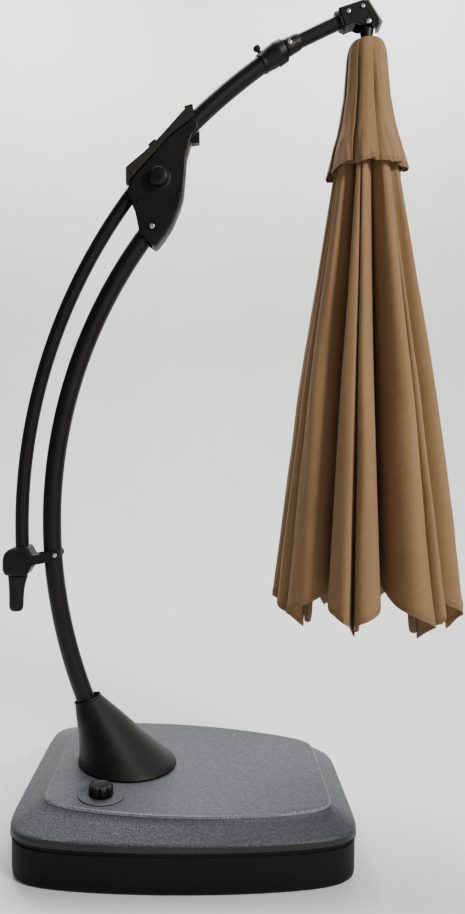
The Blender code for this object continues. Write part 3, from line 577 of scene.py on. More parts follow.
def build_base():
    tank = [
        (0.0, 0.012, 0), (0.0015, 0.0085, 0), (0.0055, 0.0055, 0), (0.014, 0.0038, 0), (0.06, 0.0032, 0),
        (SEAM_Z - 0.0095, 0.003, 0), (SEAM_Z - 0.008, 0.0055, 0), (SEAM_Z - 0.0045, 0.0055, 0),
        (SEAM_Z - 0.0035, 0.003, 0), (SEAM_Z - 0.0006, 0.003, 0),
    ]
    hollow = [(SEAM_Z - 0.0006, 0.008, 0), (0.02, 0.008, 0), (0.006, 0.02, 0)]
    made = finish_mesh(
        "tank_shell", skin([base_ring(*level) for level in tank + hollow]), "tank_plastic", "base",
        ["base_tank"], angle=30,
    )
    drain = turned([(0.0112, -0.03), (0.0112, 0.03)], 32, DRAIN, (1, 0, 0))
    carve(made, drain)

    cover = [
        (SEAM_Z, 0.003, 0), (SEAM_Z + 0.0015, 0.0008, 0), (SEAM_Z + 0.004, 0.0, 0), (SKIRT_Z - 0.004, 0.0, 0),
        (SKIRT_Z, 0.0008, 0), (SKIRT_Z + 0.0035, 0.003, 0), (SKIRT_Z + 0.0065, 0.0035, 0.08),
        (SKIRT_Z + 0.012, 0.002, 0.22), (PLATEAU_Z - 0.02, 0.0, 0.72), (PLATEAU_Z - 0.01, -0.001, 0.955),
        (PLATEAU_Z - 0.0055, -0.001, 1.0), (PLATEAU_Z - 0.0016, 0.0006, 1), (PLATEAU_Z - 0.0003, 0.003, 1),
        (PLATEAU_Z, 0.007, 1), (PLATEAU_Z - 0.0005, 0.012, 1),
    ]
    under = [
        (PLATEAU_Z - 0.006, 0.014, 1), (PLATEAU_Z - 0.014, 0.008, 0.92), (SKIRT_Z + 0.003, 0.016, 0),
        (SEAM_Z, 0.01, 0),
    ]
    upper = [base_ring(*level) for level in cover]
    lower = [base_ring(*level) for level in under]
    bm = bmesh.new()
    loops = [[bm.verts.new(p) for p in ring] for ring in upper + lower]
    top = len(upper)
    count = len(loops[0])
    for a, b in [*zip(loops[:top], loops[1:top]), *zip(loops[top:], loops[top + 1:]), (loops[-1], loops[0])]:
        for i in range(count):
            j = (i + 1) % count
            bm.faces.new((a[i], a[j], b[j], b[i]))
    bm.faces.new(loops[top - 1])
    bm.faces.new(list(reversed(loops[top])))
    made = finish_mesh("cover_shell", bm, "base_plastic", "base", ["base_cover"], angle=30)
    dish = [(0.0655, PLATEAU_Z - 0.0035), (0.0655, PLATEAU_Z + 0.01)]
    neck = [(0.0395, 0.14), (0.0395, 0.2)]
    spindle = [(0.05, 0.14), (0.05, 0.2)]
    carve(made, turned(spindle, 64), turned(dish, 96, (*FILLER, 0)), turned(neck, 64, (*FILLER, 0)))

    # raised line round the skirt's foot, where the two halves of the mould met
    bead = [(SKIRT_Z - 0.0195, 0.0016, 0), (SKIRT_Z - 0.0185, -0.0006, 0), (SKIRT_Z - 0.0165, -0.0006, 0),
            (SKIRT_Z - 0.0155, 0.0016, 0)]
    rings = [base_ring(*level) for level in bead]
    finish_mesh("mould_line", skin(rings, loop=True), "tank_plastic", "base")

    ring = [
        (0.0335, 0.14), (0.0385, 0.14), (0.0385, PLATEAU_Z - 0.003), (0.064, PLATEAU_Z - 0.003),
        (0.064, PLATEAU_Z + 0.0018), (0.0632, PLATEAU_Z + 0.0026), (0.0612, PLATEAU_Z + 0.0026),
        (0.0604, PLATEAU_Z + 0.0016), (0.044, PLATEAU_Z + 0.001), (0.039, PLATEAU_Z + 0.0022),
        (0.0335, PLATEAU_Z + 0.0024),
    ]
    rim = turned(ring, 96, (*FILLER, 0), loop=True)
    finish_mesh("filler_ring", rim, "base_plastic", "base", ["filler_neck"])


def build_caps():
    """The scalloped filler cap and the round drain plug."""
    scallops, sides, z0 = 8, 160, PLATEAU_Z + 0.003
    levels = [
        (0.029, 0.15, 0), (0.029, z0, 0), (0.0335, z0, 0.9), (0.0345, z0 + 0.0012, 1),
        (0.0345, z0 + 0.0205, 1), (0.0336, z0 + 0.024, 0.95), (0.031, z0 + 0.0265, 0.75),
        (0.027, z0 + 0.028, 0.35), (0.0225, z0 + 0.0286, 0.0), (0.0205, z0 + 0.0272, 0.0),
        (0.008, z0 + 0.0268, 0.0),
    ]
    rings = []
    for r, z, depth in levels:
        def radius(a, r=r, depth=depth):
            notch = max(0.0, math.cos(scallops * a)) ** 3
            return r - 0.0062 * depth * notch
        rings.append(ring_at((*FILLER, z), (0, 0, 1), radius, sides))
    finish_mesh("filler_knob", skin(rings), "black_plastic", "filler", ["filler_cap"], angle=50)
    plug = [
        (0.0095, 0.012), (0.0095, -0.0004), (0.017, -0.0004), (0.0176, -0.0012), (0.0176, -0.0048),
        (0.0165, -0.006), (0.012, -0.0064), (0.011, -0.0086), (0.007, -0.0092),
    ]
    body = turned(plug, 48, DRAIN, (1, 0, 0))
    drain = finish_mesh("drain_knob", body, "black_plastic", "drain", ["drain_plug"])
    corners = [(-0.014, -0.0014), (0.014, -0.0014), (0.014, 0.0014), (-0.014, 0.0014)]
    slot = skin([
        [Vector((x, DRAIN[1] + y, DRAIN[2] + z)) for y, z in corners]
        for x in (DRAIN[0] - 0.012, DRAIN[0] - 0.0076)
    ])
    carve(drain, slot)


# ---------------------------------------------------------------- mast and collar
def build_mast():
    foot_angle = math.degrees(math.asin((MAST_FOOT_Z - MAST_CENTRE[1]) / MAST_R))
    path = arc_path(MAST_CENTRE, MAST_R, foot_angle, MAST_HEAD_ANGLE)
    mast = tube(path, MAST_TUBE_R, MAST_TUBE_R - MAST_WALL, 64)
    finish_mesh("mast", mast, "powder_coat", "mast", ["mast_tube"])

    # the collar leans with the mast: its rings turn from the flat foot to the slanted rim
    top, top_normal = Vector((-0.1215, 0, 0.3625)), Vector((-0.345, 0, 0.94))
    sides, z_rim = 128, PLATEAU_Z + 0.0006

    def level(t, wall, z_foot):
        low = ring_at((0, 0, z_foot), (0, 0, 1), COLLAR_R - wall, sides)
        high = ring_at(top, top_normal, 0.042 - wall, sides)
        made = []
        for a, b in zip(low, high):
            point = a.lerp(b, t)
            hollow = 0.006 * math.sin(math.pi * t)
            made.append(point - Vector((point.x, point.y, 0)).normalized() * hollow * (1 - t))
        return made

    outside = [
        ring_at((0, 0, z), (0, 0, 1), r, sides)
        for r, z in ((COLLAR_R + 0.0022, z_rim), (COLLAR_R + 0.0032, z_rim + 0.0012),
                     (COLLAR_R + 0.0032, z_rim + 0.0045), (COLLAR_R + 0.0018, z_rim + 0.0062))
    ]
    steps = 24
    outside += [level(i / steps, 0.0, z_rim + 0.009) for i in range(steps + 1)]
    rim = [(0.0434, 0.0004), (0.044, 0.0024), (0.0432, 0.0046), (0.0412, 0.005), (0.0395, 0.0036)]
    lip = [ring_at(top + top_normal.normalized() * h, top_normal, r, sides) for r, h in rim]
    inside = [level(t, 0.0032, z_rim + 0.006) for t in (0.985, 0.5, 0)]
    inside.append(ring_at((0, 0, z_rim), (0, 0, 1), COLLAR_R - 0.004, sides))
    collar = skin(outside + lip + inside, loop=True)
    finish_mesh("mast_collar", collar, "black_plastic", "mast", ["collar"], angle=40)


# ---------------------------------------------------------------- housing
SHELL_OUTLINE = [
    (0.003, 1.913), (0.025, 1.86), (0.034, 1.816), (0.04, 1.786), (0.064, 1.76), (0.089, 1.741),
    (0.115, 1.772), (0.138, 1.807), (0.162, 1.861), (0.174, 1.903), (0.179, 1.96), (0.183, 2.018),
    (0.19, 2.042), (0.1985, 2.072), (0.221, 2.1), (0.207, 2.129), (0.132, 2.0745), (0.073, 2.011),
    (0.012, 1.946),
]
SHELL_POCKET = [
    (-0.04, 1.9), (0.0000, 1.84), (0.015, 1.77), (0.05, 1.7), (0.08, 1.756), (0.0905, 1.748),
    (0.112, 1.775), (0.134, 1.809), (0.1578, 1.862), (0.1698, 1.9035), (0.175, 1.96), (0.179, 2.019),
    (0.186, 2.043), (0.195, 2.074), (0.24, 2.095), (0.24, 2.2), (0.1, 2.15), (-0.03, 2.0000),
]
COVER_OUTLINE = [
    (0.0000, 1.936), (0.003, 1.9235), (0.0114, 1.9467), (0.0723, 2.0118), (0.1314, 2.0755), (0.2068, 2.13),
    (0.1975, 2.159), (0.187, 2.1585), (0.1694, 2.1435), (0.0976, 2.0665), (0.0555, 2.029), (0.0000, 1.985),
]
COVER_POCKET = [
    (-0.02, 1.9), (-0.02, 1.935), (0.0045, 1.954), (0.0045, 1.9815), (0.057, 2.024), (0.099, 2.062),
    (0.16, 2.126), (0.175, 2.1392), (0.187, 2.1502), (0.195, 2.1578), (0.24, 2.2), (0.24, 2.1),
    (0.1314, 2.05), (0.05, 1.95),
]


def inset_outline(outline, distance):
    """The outline moved inwards by a distance, corner by corner."""
    area = sum(a[0] * b[1] - b[0] * a[1] for a, b in zip(outline, outline[1:] + outline[:1]))
    turn = 1 if area > 0 else -1
    made = []
    for i in range(len(outline)):
        before, here, after = (Vector(outline[j % len(outline)]) for j in (i - 1, i, i + 1))
        first, second = (here - before).normalized(), (after - here).normalized()
        normal = Vector((-(first.y + second.y), first.x + second.x)).normalized() * turn
        spread_out = max(0.5, normal.dot(Vector((-first.y, first.x)) * turn))
        made.append(tuple(here + normal * distance / spread_out))
    return made


def build_housing():
    for name, side in (("housing_near", -1), ("housing_far", 1)):
        outer = side * SHELL_HALF
        outline = rounded(SHELL_OUTLINE, 0.012)
        inner = rounded(inset_outline(SHELL_OUTLINE, 0.005), 0.01)
        levels = [(outline, side * 0.0002), (outline, outer - side * 0.006)]
        levels += [(inner, outer - side * 0.0004), (inner, outer)]
        middle = [tuple((Vector(a) * 0.7 + Vector(b) * 0.3)) for a, b in zip(outline, inner)]
        levels.insert(2, (middle, outer - side * 0.0022))
        shell = finish_mesh("shell_" + name[8:], lofted(levels), "black_plastic", "mast", [name], angle=25)
        pocket = prism(SHELL_POCKET, side * (SHELL_HALF - CHEEK), -side * 0.01)
        tools = [pocket]
        seats = [(place, 0.0078, 0.0022, 32) for place in SHELL_BOLTS] + [(MAST_BOLT, 0.0125, 0.0016, 40)]
        for (x, z), radius, depth, sides in seats:
            seat = [(radius, outer - side * depth), (radius, outer + side * 0.01)]
            tools.append(turned(seat, sides, (x, 0, z), (0, 1, 0)))
        carve(shell, *tools)

    # shallow boss round the lock knob
    boss = [(0.0105, -SHELL_HALF - 0.0002), (0.036, -SHELL_HALF - 0.0002), (0.034, -SHELL_HALF - 0.0012),
            (0.0105, -SHELL_HALF - 0.0012)]
    rings = [ring_at((KNOB[0], y, KNOB[1]), (0, 1, 0), r, 64) for r, y in boss]
    finish_mesh("knob_boss", skin(rings, loop=True), "black_plastic", "mast")

    half = SHELL_HALF + 0.002
    strip = prism(rounded(COVER_OUTLINE, 0.005), -half, half)
    cover = finish_mesh("cover_strip", strip, "cover_plastic", "mast", ["housing_cover"])
    pocket_half = SHELL_HALF - CHEEK + 0.002
    carve(cover, prism(COVER_POCKET, -pocket_half, pocket_half))
    add_bevel(cover, 0.002, 3, 50.0)
    # two clips that hook the strip to the shells, and its screw
    for index, (x, z, slope) in enumerate(((0.08, 2.056, 40.0), (0.189, 2.16, 12.0)), start=1):
        turn = Matrix.Translation((x, 0, z)) @ Matrix.Rotation(math.radians(-slope), 4, "Y")
        bm = bmesh.new()
        bmesh.ops.create_cube(bm, size=1.0, matrix=turn @ Matrix.Diagonal((0.026, 0.07, 0.01, 1.0)))
        finish_mesh(f"cover_clip_{index}", bm, "black_plastic", "mast", bevel=0.0018)
    for number, (x, z) in enumerate(((0.0193, 1.965), (0.1843, 2.0388)), start=1):
        place = (x, -half + 0.0018 * (number == 2), z)
        screw_head(f"cover_screw_{number}", place, (0, -1, 0), 0.005, 0.0024, "mast", "copper")

    near = -SHELL_HALF
    for index, (x, z) in enumerate(SHELL_BOLTS, start=1):
        name = f"shell_screw_{index}"
        made = screw_head(name, (x, near + 0.0018, z), (0, -1, 0), 0.0058, 0.003, "mast", "powder_coat",
                          [f"shell_bolt_{index}"])
        far = turned([(0.0058, 0), (0.005, 0.003)], 24, (x, -near - 0.0018, z), (0, 1, 0))
        carve(made, far, operation="UNION")
    x, z = MAST_BOLT
    made = screw_head("mast_bolt_head", (x, near + 0.0012, z), (0, -1, 0), 0.0082, 0.005, "mast",
                      replaces=["mast_bolt"])
    nut = turned([(0.0088, 0), (0.0088, 0.005), (0.007, 0.0062)], 6, (x, -near - 0.0012, z), (0, 1, 0))
    carve(made, nut, operation="UNION")


def build_guide():
    path = arc_path(ARM_CENTRE, ARM_R, GUIDE_START, GUIDE_END, 0.6)
    inner = GUIDE_TUBE_R - GUIDE_WALL
    finish_mesh("guide_sleeve", tube(path, GUIDE_TUBE_R, inner, 64), "powder_coat", "mast", ["guide_tube"])
    bore = ARM_TUBE_R + 0.003
    profile = [
        (GUIDE_TUBE_R + 0.0004, -0.044), (0.0306, -0.044), (0.0316, -0.043), (0.032, -0.038),
        (0.0312, -0.035), (0.0312, -0.03), (0.0345, -0.012), (0.035, -0.01), (0.035, 0.006),
        (0.0362, 0.008), (0.0362, 0.02), (0.035, 0.022), (0.0345, 0.032), (0.033, 0.0352),
        (0.029, 0.036), (bore, 0.036), (bore, 0.0012), (GUIDE_TUBE_R + 0.0004, 0.0012),
    ]
    cuff = turned_on_arc(profile, 96, ARM_CENTRE, ARM_R, GUIDE_END)
    finish_mesh("cuff", cuff, "black_plastic", "mast", ["coupling_cuff"], bevel=0.0005, segments=2)
    # saddle that carries the plunger, and the clamp's ear underneath
    point, along = arc_point(ARM_CENTRE, ARM_R, GUIDE_END - 0.9)
    out = Vector((-along.z, 0, along.x))
    saddle = [(0.011, 0.0275), (0.011, 0.0318), (0.0095, 0.0334), (0.0036, 0.0334), (0.0036, 0.0275)]
    finish_mesh("plunger_boss", turned(saddle, 40, point, out, loop=True), "black_plastic", "mast")
    ear_point, ear_along = arc_point(ARM_CENTRE, ARM_R, GUIDE_END + 0.55)
    down = Vector((ear_along.z, 0, -ear_along.x))
    start = ear_point + down * 0.0325
    turn = Matrix((
        (*ear_along, 0.0), (0.0, 1.0, 0.0, 0.0), (*down, 0.0), (0.0, 0.0, 0.0, 1.0),
    )).transposed()
    turn.translation = start
    bm = bmesh.new()
    bmesh.ops.create_cube(bm, size=1.0, matrix=turn @ Matrix.Diagonal((0.032, 0.016, 0.012, 1.0)))
    finish_mesh("clamp_ear", bm, "black_plastic", "mast", bevel=0.003, segments=4)

    profile = [
        (0.003, 0.0235), (0.003, 0.0338), (0.0056, 0.0338), (0.0056, 0.0392), (0.0068, 0.0402),
        (0.0092, 0.0424), (0.0108, 0.046), (0.0112, 0.0496), (0.0104, 0.0532), (0.0084, 0.056),
        (0.0052, 0.0576), (0.0016, 0.0581),
    ]
    ball = turned(profile, 40, point, out)
    finish_mesh("plunger_ball", ball, "black_plastic", "plunger", ["index_plunger"], angle=50)


def build_controls():
    """The domed lock knob with its shallow flutes, and the release trigger."""
    y, flutes, sides = -SHELL_HALF - 0.0016, 12, 144
    levels = [
        (0.005, -0.017, 0), (0.005, 0, 0), (0.0235, 0, 0), (0.0245, 0.003, 0), (0.0285, 0.0046, 1),
        (0.03, 0.0066, 1), (0.0305, 0.012, 1), (0.03, 0.018, 0.9), (0.0285, 0.0222, 0.6),
        (0.0255, 0.0252, 0.25), (0.021, 0.0268, 0), (0.013, 0.028, 0), (0.004, 0.0284, 0),
    ]
    rings = []
    for r, out, depth in levels:
        def radius(a, r=r, depth=depth):
            return r - 0.0011 * depth * (0.5 + 0.5 * math.cos(flutes * a)) ** 2
        rings.append(ring_at((KNOB[0], y - out, KNOB[1]), (0, -1, 0), radius, sides))
    finish_mesh("knob", skin(rings), "black_plastic", "knob", ["lock_knob"], angle=50)
    trigger = [(0.197, 2.056), (0.2225, 2.059), (0.2215, 2.0985), (0.201, 2.0725)]
    lever = prism(rounded(trigger, 0.004), -0.012, 0.012)
    finish_mesh("trigger", lever, "black_plastic", "trigger", ["release_trigger"], bevel=0.0018)


# ---------------------------------------------------------------- sliding arm
def grooved(radius, depth=0.0011, width=0.085):
    """An extruded section: two shallow grooves along each flank."""
    places = [math.radians(d) for d in (-17.0, 17.0, 163.0, 197.0)]

    def at(a):
        dip = 0.0
        for place in places:
            away = (a - place + math.pi) % TAU - math.pi
            dip = max(dip, math.exp(-((away / width) ** 4)))
        return radius - depth * dip
    return at


def build_arm():
    path = arc_path(ARM_CENTRE, ARM_R, ARM_FOOT_ANGLE, ARM_BEND_ANGLE) + front_path()[1:]
    arm = tube(path, grooved(ARM_TUBE_R), ARM_TUBE_R - ARM_WALL - 0.0006, 96)
    finish_mesh("arm", arm, "powder_coat", "arm", ["arm_tube"], angle=50)
    inner = ARM_TUBE_R + 0.0007
    profile = [
        (inner, 0.034), (0.0262, 0.034), (0.0274, 0.0352), (0.0276, 0.05), (0.0264, 0.052),
        (0.0264, 0.066), (0.0258, 0.069), (0.0242, 0.078), (0.0234, 0.08), (inner, 0.08),
    ]
    ring = turned_on_arc(profile, 96, front_centre(), ARM_FRONT_R, ARM_BEND_ANGLE)
    finish_mesh("stop_sleeve", ring, "black_plastic", "arm", ["arm_stop_sleeve"], bevel=0.0005, segments=2)
    point, _ = arc_point(front_centre(), ARM_FRONT_R, ARM_BEND_ANGLE + math.degrees(0.046 / ARM_FRONT_R))
    screw_head("sleeve_screw", (point.x, -0.027, point.z), (0, -1, 0), 0.0068, 0.0032, "arm")
    build_elbow()
    build_handle()


def build_elbow():
    front = front_path()
    tip, along = front[-1]
    outline = [
        (0.6265, 2.4315), (0.697, 2.451), (0.707, 2.45), (0.7405, 2.3905), (0.734, 2.378),
        (0.688, 2.378), (0.674, 2.386), (0.6475, 2.375),
    ]
    half = 0.0285
    smooth_outline = rounded(outline, 0.006)
    inner = rounded(inset_outline(outline, 0.003), 0.005)
    levels = [(inner, -half), (smooth_outline, -half + 0.003), (smooth_outline, half - 0.003), (inner, half)]
    head = finish_mesh("elbow", lofted(levels), "black_plastic", "arm", ["elbow_head"], angle=25)
    bore = bar([front[-2], (tip + along * 0.002, along)], ARM_TUBE_R + 0.0004, 64)
    slot = [(0.676, 2.35), (0.676, 2.436), (0.696, 2.446), (0.703, 2.446), (0.75, 2.39), (0.75, 2.35)]
    channel = [(0.655, 2.408), (0.655, 2.432), (0.672, 2.4383), (0.694, 2.4455), (0.694, 2.41)]
    panel = [(0.662, 2.414), (0.69, 2.435), (0.7, 2.435), (0.72, 2.4), (0.71, 2.392), (0.685, 2.398)]
    panels = [prism(rounded(panel, 0.006), side * (half - 0.0012), side * (half + 0.01)) for side in (-1, 1)]
    carve(head, bore, prism(slot, -0.0225, 0.0225), prism(channel, -0.005, 0.005), *panels)
    # flange where the arm enters
    mouth = tip - along * 0.0385
    flange = [(ARM_TUBE_R + 0.0008, 0.0), (0.031, 0.0), (0.0318, 0.001), (0.0318, 0.0052), (0.0306, 0.0066),
              (ARM_TUBE_R + 0.0008, 0.0066)]
    finish_mesh("elbow_flange", turned(flange, 96, mouth, along, loop=True), "black_plastic", "arm")

    cap = [(0.7078, 2.4503), (0.7125, 2.4515), (0.7545, 2.38), (0.743, 2.376), (0.7412, 2.3912)]
    plate = prism(rounded(cap, 0.003), -0.0285, 0.0285)
    finish_mesh("end_plate", plate, "end_plate", "arm", ["elbow_end_cap"], bevel=0.0014)

    for side, word in ((-1, "near"), (1, "far")):
        face = side * (half + 0.0002)
        screw_head(f"hang_screw_{word}_head", (HANG[0], face, HANG[1]), (0, side, 0), 0.0072, 0.0036, "arm",
                   replaces=[f"hang_screw_{word}"])
        screw_head(f"elbow_screw_{word}", (0.656, face, 2.418), (0, side, 0), 0.0062, 0.003, "arm")
    axle = screw_head("axle_head", (PULLEY[0], -half - 0.0002, PULLEY[1]), (0, -1, 0), 0.006, 0.003, "arm",
                      replaces=["pulley_axle"])
    pin = [(0.003, -half - 0.0004), (0.003, half), (0.0056, half + 0.0003), (0.0052, half + 0.0034)]
    pin = turned(pin, 24, (PULLEY[0], 0, PULLEY[1]), (0, 1, 0))
    carve(axle, pin, operation="UNION")


def build_handle():
    """The clamp bracket with its guide arms, and the moulded grip below it."""
    block = [
        (-0.383, 0.76), (-0.383, 0.795), (-0.377, 0.812), (-0.361, 0.826), (-0.304, 0.835),
        (-0.288, 0.806), (-0.278, 0.806), (-0.278, 0.778), (-0.29, 0.776), (-0.308, 0.744),
        (-0.376, 0.744),
    ]
    half = 0.039
    outline = rounded(block, 0.007)
    inner = rounded(inset_outline(block, 0.0055), 0.006)
    levels = [(inner, -half), (outline, -half + 0.007), (outline, half - 0.007), (inner, half)]
    bracket = finish_mesh("bracket", lofted(levels), "black_plastic", "arm", ["handle_bracket"], angle=25)
    arms = [(-0.296, 0.776), (-0.259, 0.783), (-0.208, 0.797), (-0.202, 0.811), (-0.208, 0.826),
            (-0.262, 0.812), (-0.296, 0.806)]
    foot, along = arc_point(ARM_CENTRE, ARM_R, ARM_FOOT_ANGLE)
    bore = bar([(foot - along * 0.001, along), (foot + along * 0.12, along)], ARM_TUBE_R + 0.0005, 64)
    guides = [prism(rounded(arms, 0.008), *sorted((side * 0.0345, side * half))) for side in (-1, 1)]
    carve(bracket, *guides, operation="UNION")
    carve(bracket, bore)
    for side, word in ((-1, "near"), (1, "far")):
        face = side * (half + 0.0002)
        screw_head(f"guide_screw_{word}", (-0.2175, face, 0.81), (0, side, 0), 0.0066, 0.0034, "arm")
        for number, (x, z) in enumerate(((-0.325, 0.808), (-0.302, 0.793)), start=1):
            screw_head(f"bracket_screw_{word}_{number}", (x, face, z), (0, side, 0), 0.0055, 0.0026, "arm",
                       "powder_coat")

    sections = [
        (0.7437, -0.3415, 0.033, 0.0225), (0.738, -0.3418, 0.0322, 0.0222), (0.725, -0.344, 0.029, 0.0205),
        (0.71, -0.345, 0.0262, 0.0192), (0.695, -0.346, 0.0246, 0.0186), (0.675, -0.3466, 0.0234, 0.0182),
        (0.655, -0.347, 0.0234, 0.018), (0.643, -0.3473, 0.0228, 0.0174), (0.635, -0.3475, 0.0208, 0.016),
        (0.63, -0.3478, 0.017, 0.0132), (0.6278, -0.348, 0.011, 0.0085), (0.6272, -0.348, 0.004, 0.003),
    ]
    rings = [
        [Vector((x + rx * math.cos(a), ry * math.sin(a), z)) for a in (TAU * i / 64 for i in range(64))]
        for z, x, rx, ry in sections
    ]
    grip = finish_mesh("grip", skin(rings), "black_plastic", "arm", ["handle_grip"], angle=50)
    grip.modifiers.new("smooth", "SUBSURF").levels = 1
    grip.modifiers["smooth"].render_levels = 1


# ---------------------------------------------------------------- folded canopy
RIB_LENGTH = 1.668              # of the open canopy, from its middle to a corner of the hem
MID_LENGTH = RIB_LENGTH * math.cos(math.pi / RIBS)
GORE_HALF = RIB_LENGTH * math.sin(math.pi / RIBS)


def fold_path(first, second):
    """One gore of cloth between two ribs, as (share of the way round, 0 inside to 1 outside).

    first and second say how far the cloth's outer crease lies past each rib, as a share of the
    gore. Between the creases the cloth dips into a valley, where the spare cloth is pleated."""
    half = [
        (0.000, 0.705), (0.025, 0.82), (0.035, 0.93), (0.055, 0.965), (0.15, 0.985), (0.27, 0.95),
        (0.36, 0.87), (0.41, 0.74), (0.435, 0.54), (0.442, 0.3), (0.425, 0.18), (0.38, 0.2),
        (0.325, 0.4), (0.285, 0.62), (0.255, 0.74), (0.225, 0.74), (0.205, 0.62), (0.215, 0.34),
        (0.29, 0.1),
    ]
    reach = [0.0, 0.5, 1.0, 1.0, 0.35] + [0.0] * (len(half) - 5)

    def side(past):
        tucked = -0.1 < past < 0
        return [
            (x if tucked else x - past * k, depth - 0.075 * k * tucked)
            for (x, depth), k in zip(half, reach)
        ]

    return side(first) + [(0.5, 0.03)] + [(1 - x, depth) for x, depth in side(second)[:0:-1]]


def wobble(x, y, z, seed):
    return noise.noise(Vector((x, y, z)) + Vector((seed * 7.3, seed * 3.1, seed * 5.7)))


def cloth_piece(name, points, faces, places, finish, replaces=(), closed=False):
    """A cloth mesh that rides on the canopy, with its flat places in the cloth attribute."""
    mesh = bpy.data.meshes.new(name)
    mesh.from_pydata([tuple(p) for p in points], [], faces)
    attribute = mesh.attributes.new("cloth", "FLOAT_VECTOR", "POINT")
    attribute.data.foreach_set("vector", [c for place in places for c in place])
    if closed:
        bm = bmesh.new()
        bm.from_mesh(mesh)
        bmesh.ops.recalc_face_normals(bm, faces=bm.faces)
        bm.to_mesh(mesh)
        bm.free()
    mesh.shade_smooth()
    if closed:
        mesh.set_sharp_from_angle(angle=math.radians(60))
    mesh.materials.append(FINISHES[finish])
    made = bpy.data.objects.new(name, mesh)
    bpy.context.scene.collection.objects.link(made)
    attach(made, "canopy")
    if replaces:
        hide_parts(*replaces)
    return made


def ring_faces(levels, count):
    """Quads between rings of points, listed ring by ring."""
    return [
        (r * count + i, r * count + (i + 1) % count, (r + 1) * count + (i + 1) % count, (r + 1) * count + i)
        for r in range(levels - 1) for i in range(count)
    ]


def tier(name, rows, cloth, replaces):
    """A closed-round sheet from rows of points."""
    flat = [place for row in cloth for place in row]
    faces = ring_faces(len(rows), len(rows[0]))
    return cloth_piece(name, [p for row in rows for p in row], faces, flat, "fabric", replaces)


def clamp(value):
    return max(0.0, min(1.0, value))


def between(z, profile):
    """The radius at a height, from (z, radius) points given from the top down."""
    for (z0, r0), (z1, r1) in zip(profile, profile[1:]):
        if z >= z1:
            return r0 + (r1 - r0) * (z0 - z) / (z0 - z1)
    return r1


MAIN_OUT = [(2.255, 0.058), (2.05, 0.08), (1.945, 0.096), (1.3, 0.202), (0.65, 0.284), (0.4, 0.31)]
MAIN_IN = [(2.255, 0.046), (1.95, 0.049), (1.3, 0.047), (0.65, 0.045), (0.4, 0.045)]
MAIN_TOP = 2.05
HEM_Z = 0.64
PER_GORE = 88                   # columns of the sheet's mesh in one gore
CLOTH_TOP = 2.338               # where the gores' cloth would meet at the pole
VENT_TOP = 2.3395

# how far each gore's two outer creases reach past its ribs, as a share of the gore. A small
# negative number tucks the face under its neighbour's flap, a large one leaves a deep valley
CREASES = [(0.085, -0.06), (0.035, 0.01), (0.06, -0.105), (0.045, -0.04),
           (0.085, 0.000), (0.000, 0.095), (-0.12, 0.02), (0.02, -0.05)]
FIRST_RIB = math.radians(-155.0)


def azimuth_point(azimuth, radius, z):
    return Vector((CANOPY_X + radius * math.cos(azimuth), radius * math.sin(azimuth), z))


def gore_outline():
    """The folded cloth's section: (place round the pole in gores, 0 inside to 1 outside)."""
    points = []
    for k in range(RIBS):
        first, second = CREASES[(k + 4) % RIBS]
        points += [(k + share, depth) for share, depth in fold_path(first, second)]
    return points


def spread(points, count, radius_at):
    """count points evenly along each gore of the smooth section, measured at the hem's size."""
    per_gore = len(points) // RIBS
    wrapped = smooth_section(points, 12)
    step = per_gore * 12
    made = []
    for k in range(RIBS):
        piece = [wrapped[(k * step + i) % len(wrapped)] for i in range(step + 1)]
        if k == RIBS - 1:
            piece[-1] = piece[-1] + Vector((RIBS, 0))
        flat = [azimuth_point(p.x * TAU / RIBS, radius_at(p.y), 0) for p in piece]
        run = [0.0]
        for a, b in zip(flat, flat[1:]):
            run.append(run[-1] + (b - a).length)
        i = 0
        for n in range(count):
            want = run[-1] * n / count
            while run[i + 1] < want:
                i += 1
            t = (want - run[i]) / max(run[i + 1] - run[i], 1e-9)
            made.append((piece[i].lerp(piece[i + 1], t), n / count))
    return made


def smooth_section(points, per):
    count, made = len(points), []

    def at(i):
        turn, place = divmod(i, count)
        return Vector((points[place][0] + turn * RIBS, points[place][1]))

    for i in range(count):
        a, b, c, d = (at(i + k) for k in (-1, 0, 1, 2))
        for j in range(per):
            t = j / per
            made.append(0.5 * (2 * b + (c - a) * t + (2 * a - 5 * b + 4 * c - d) * t * t
                               + (3 * b - a - 3 * c + d) * t ** 3))
    return made


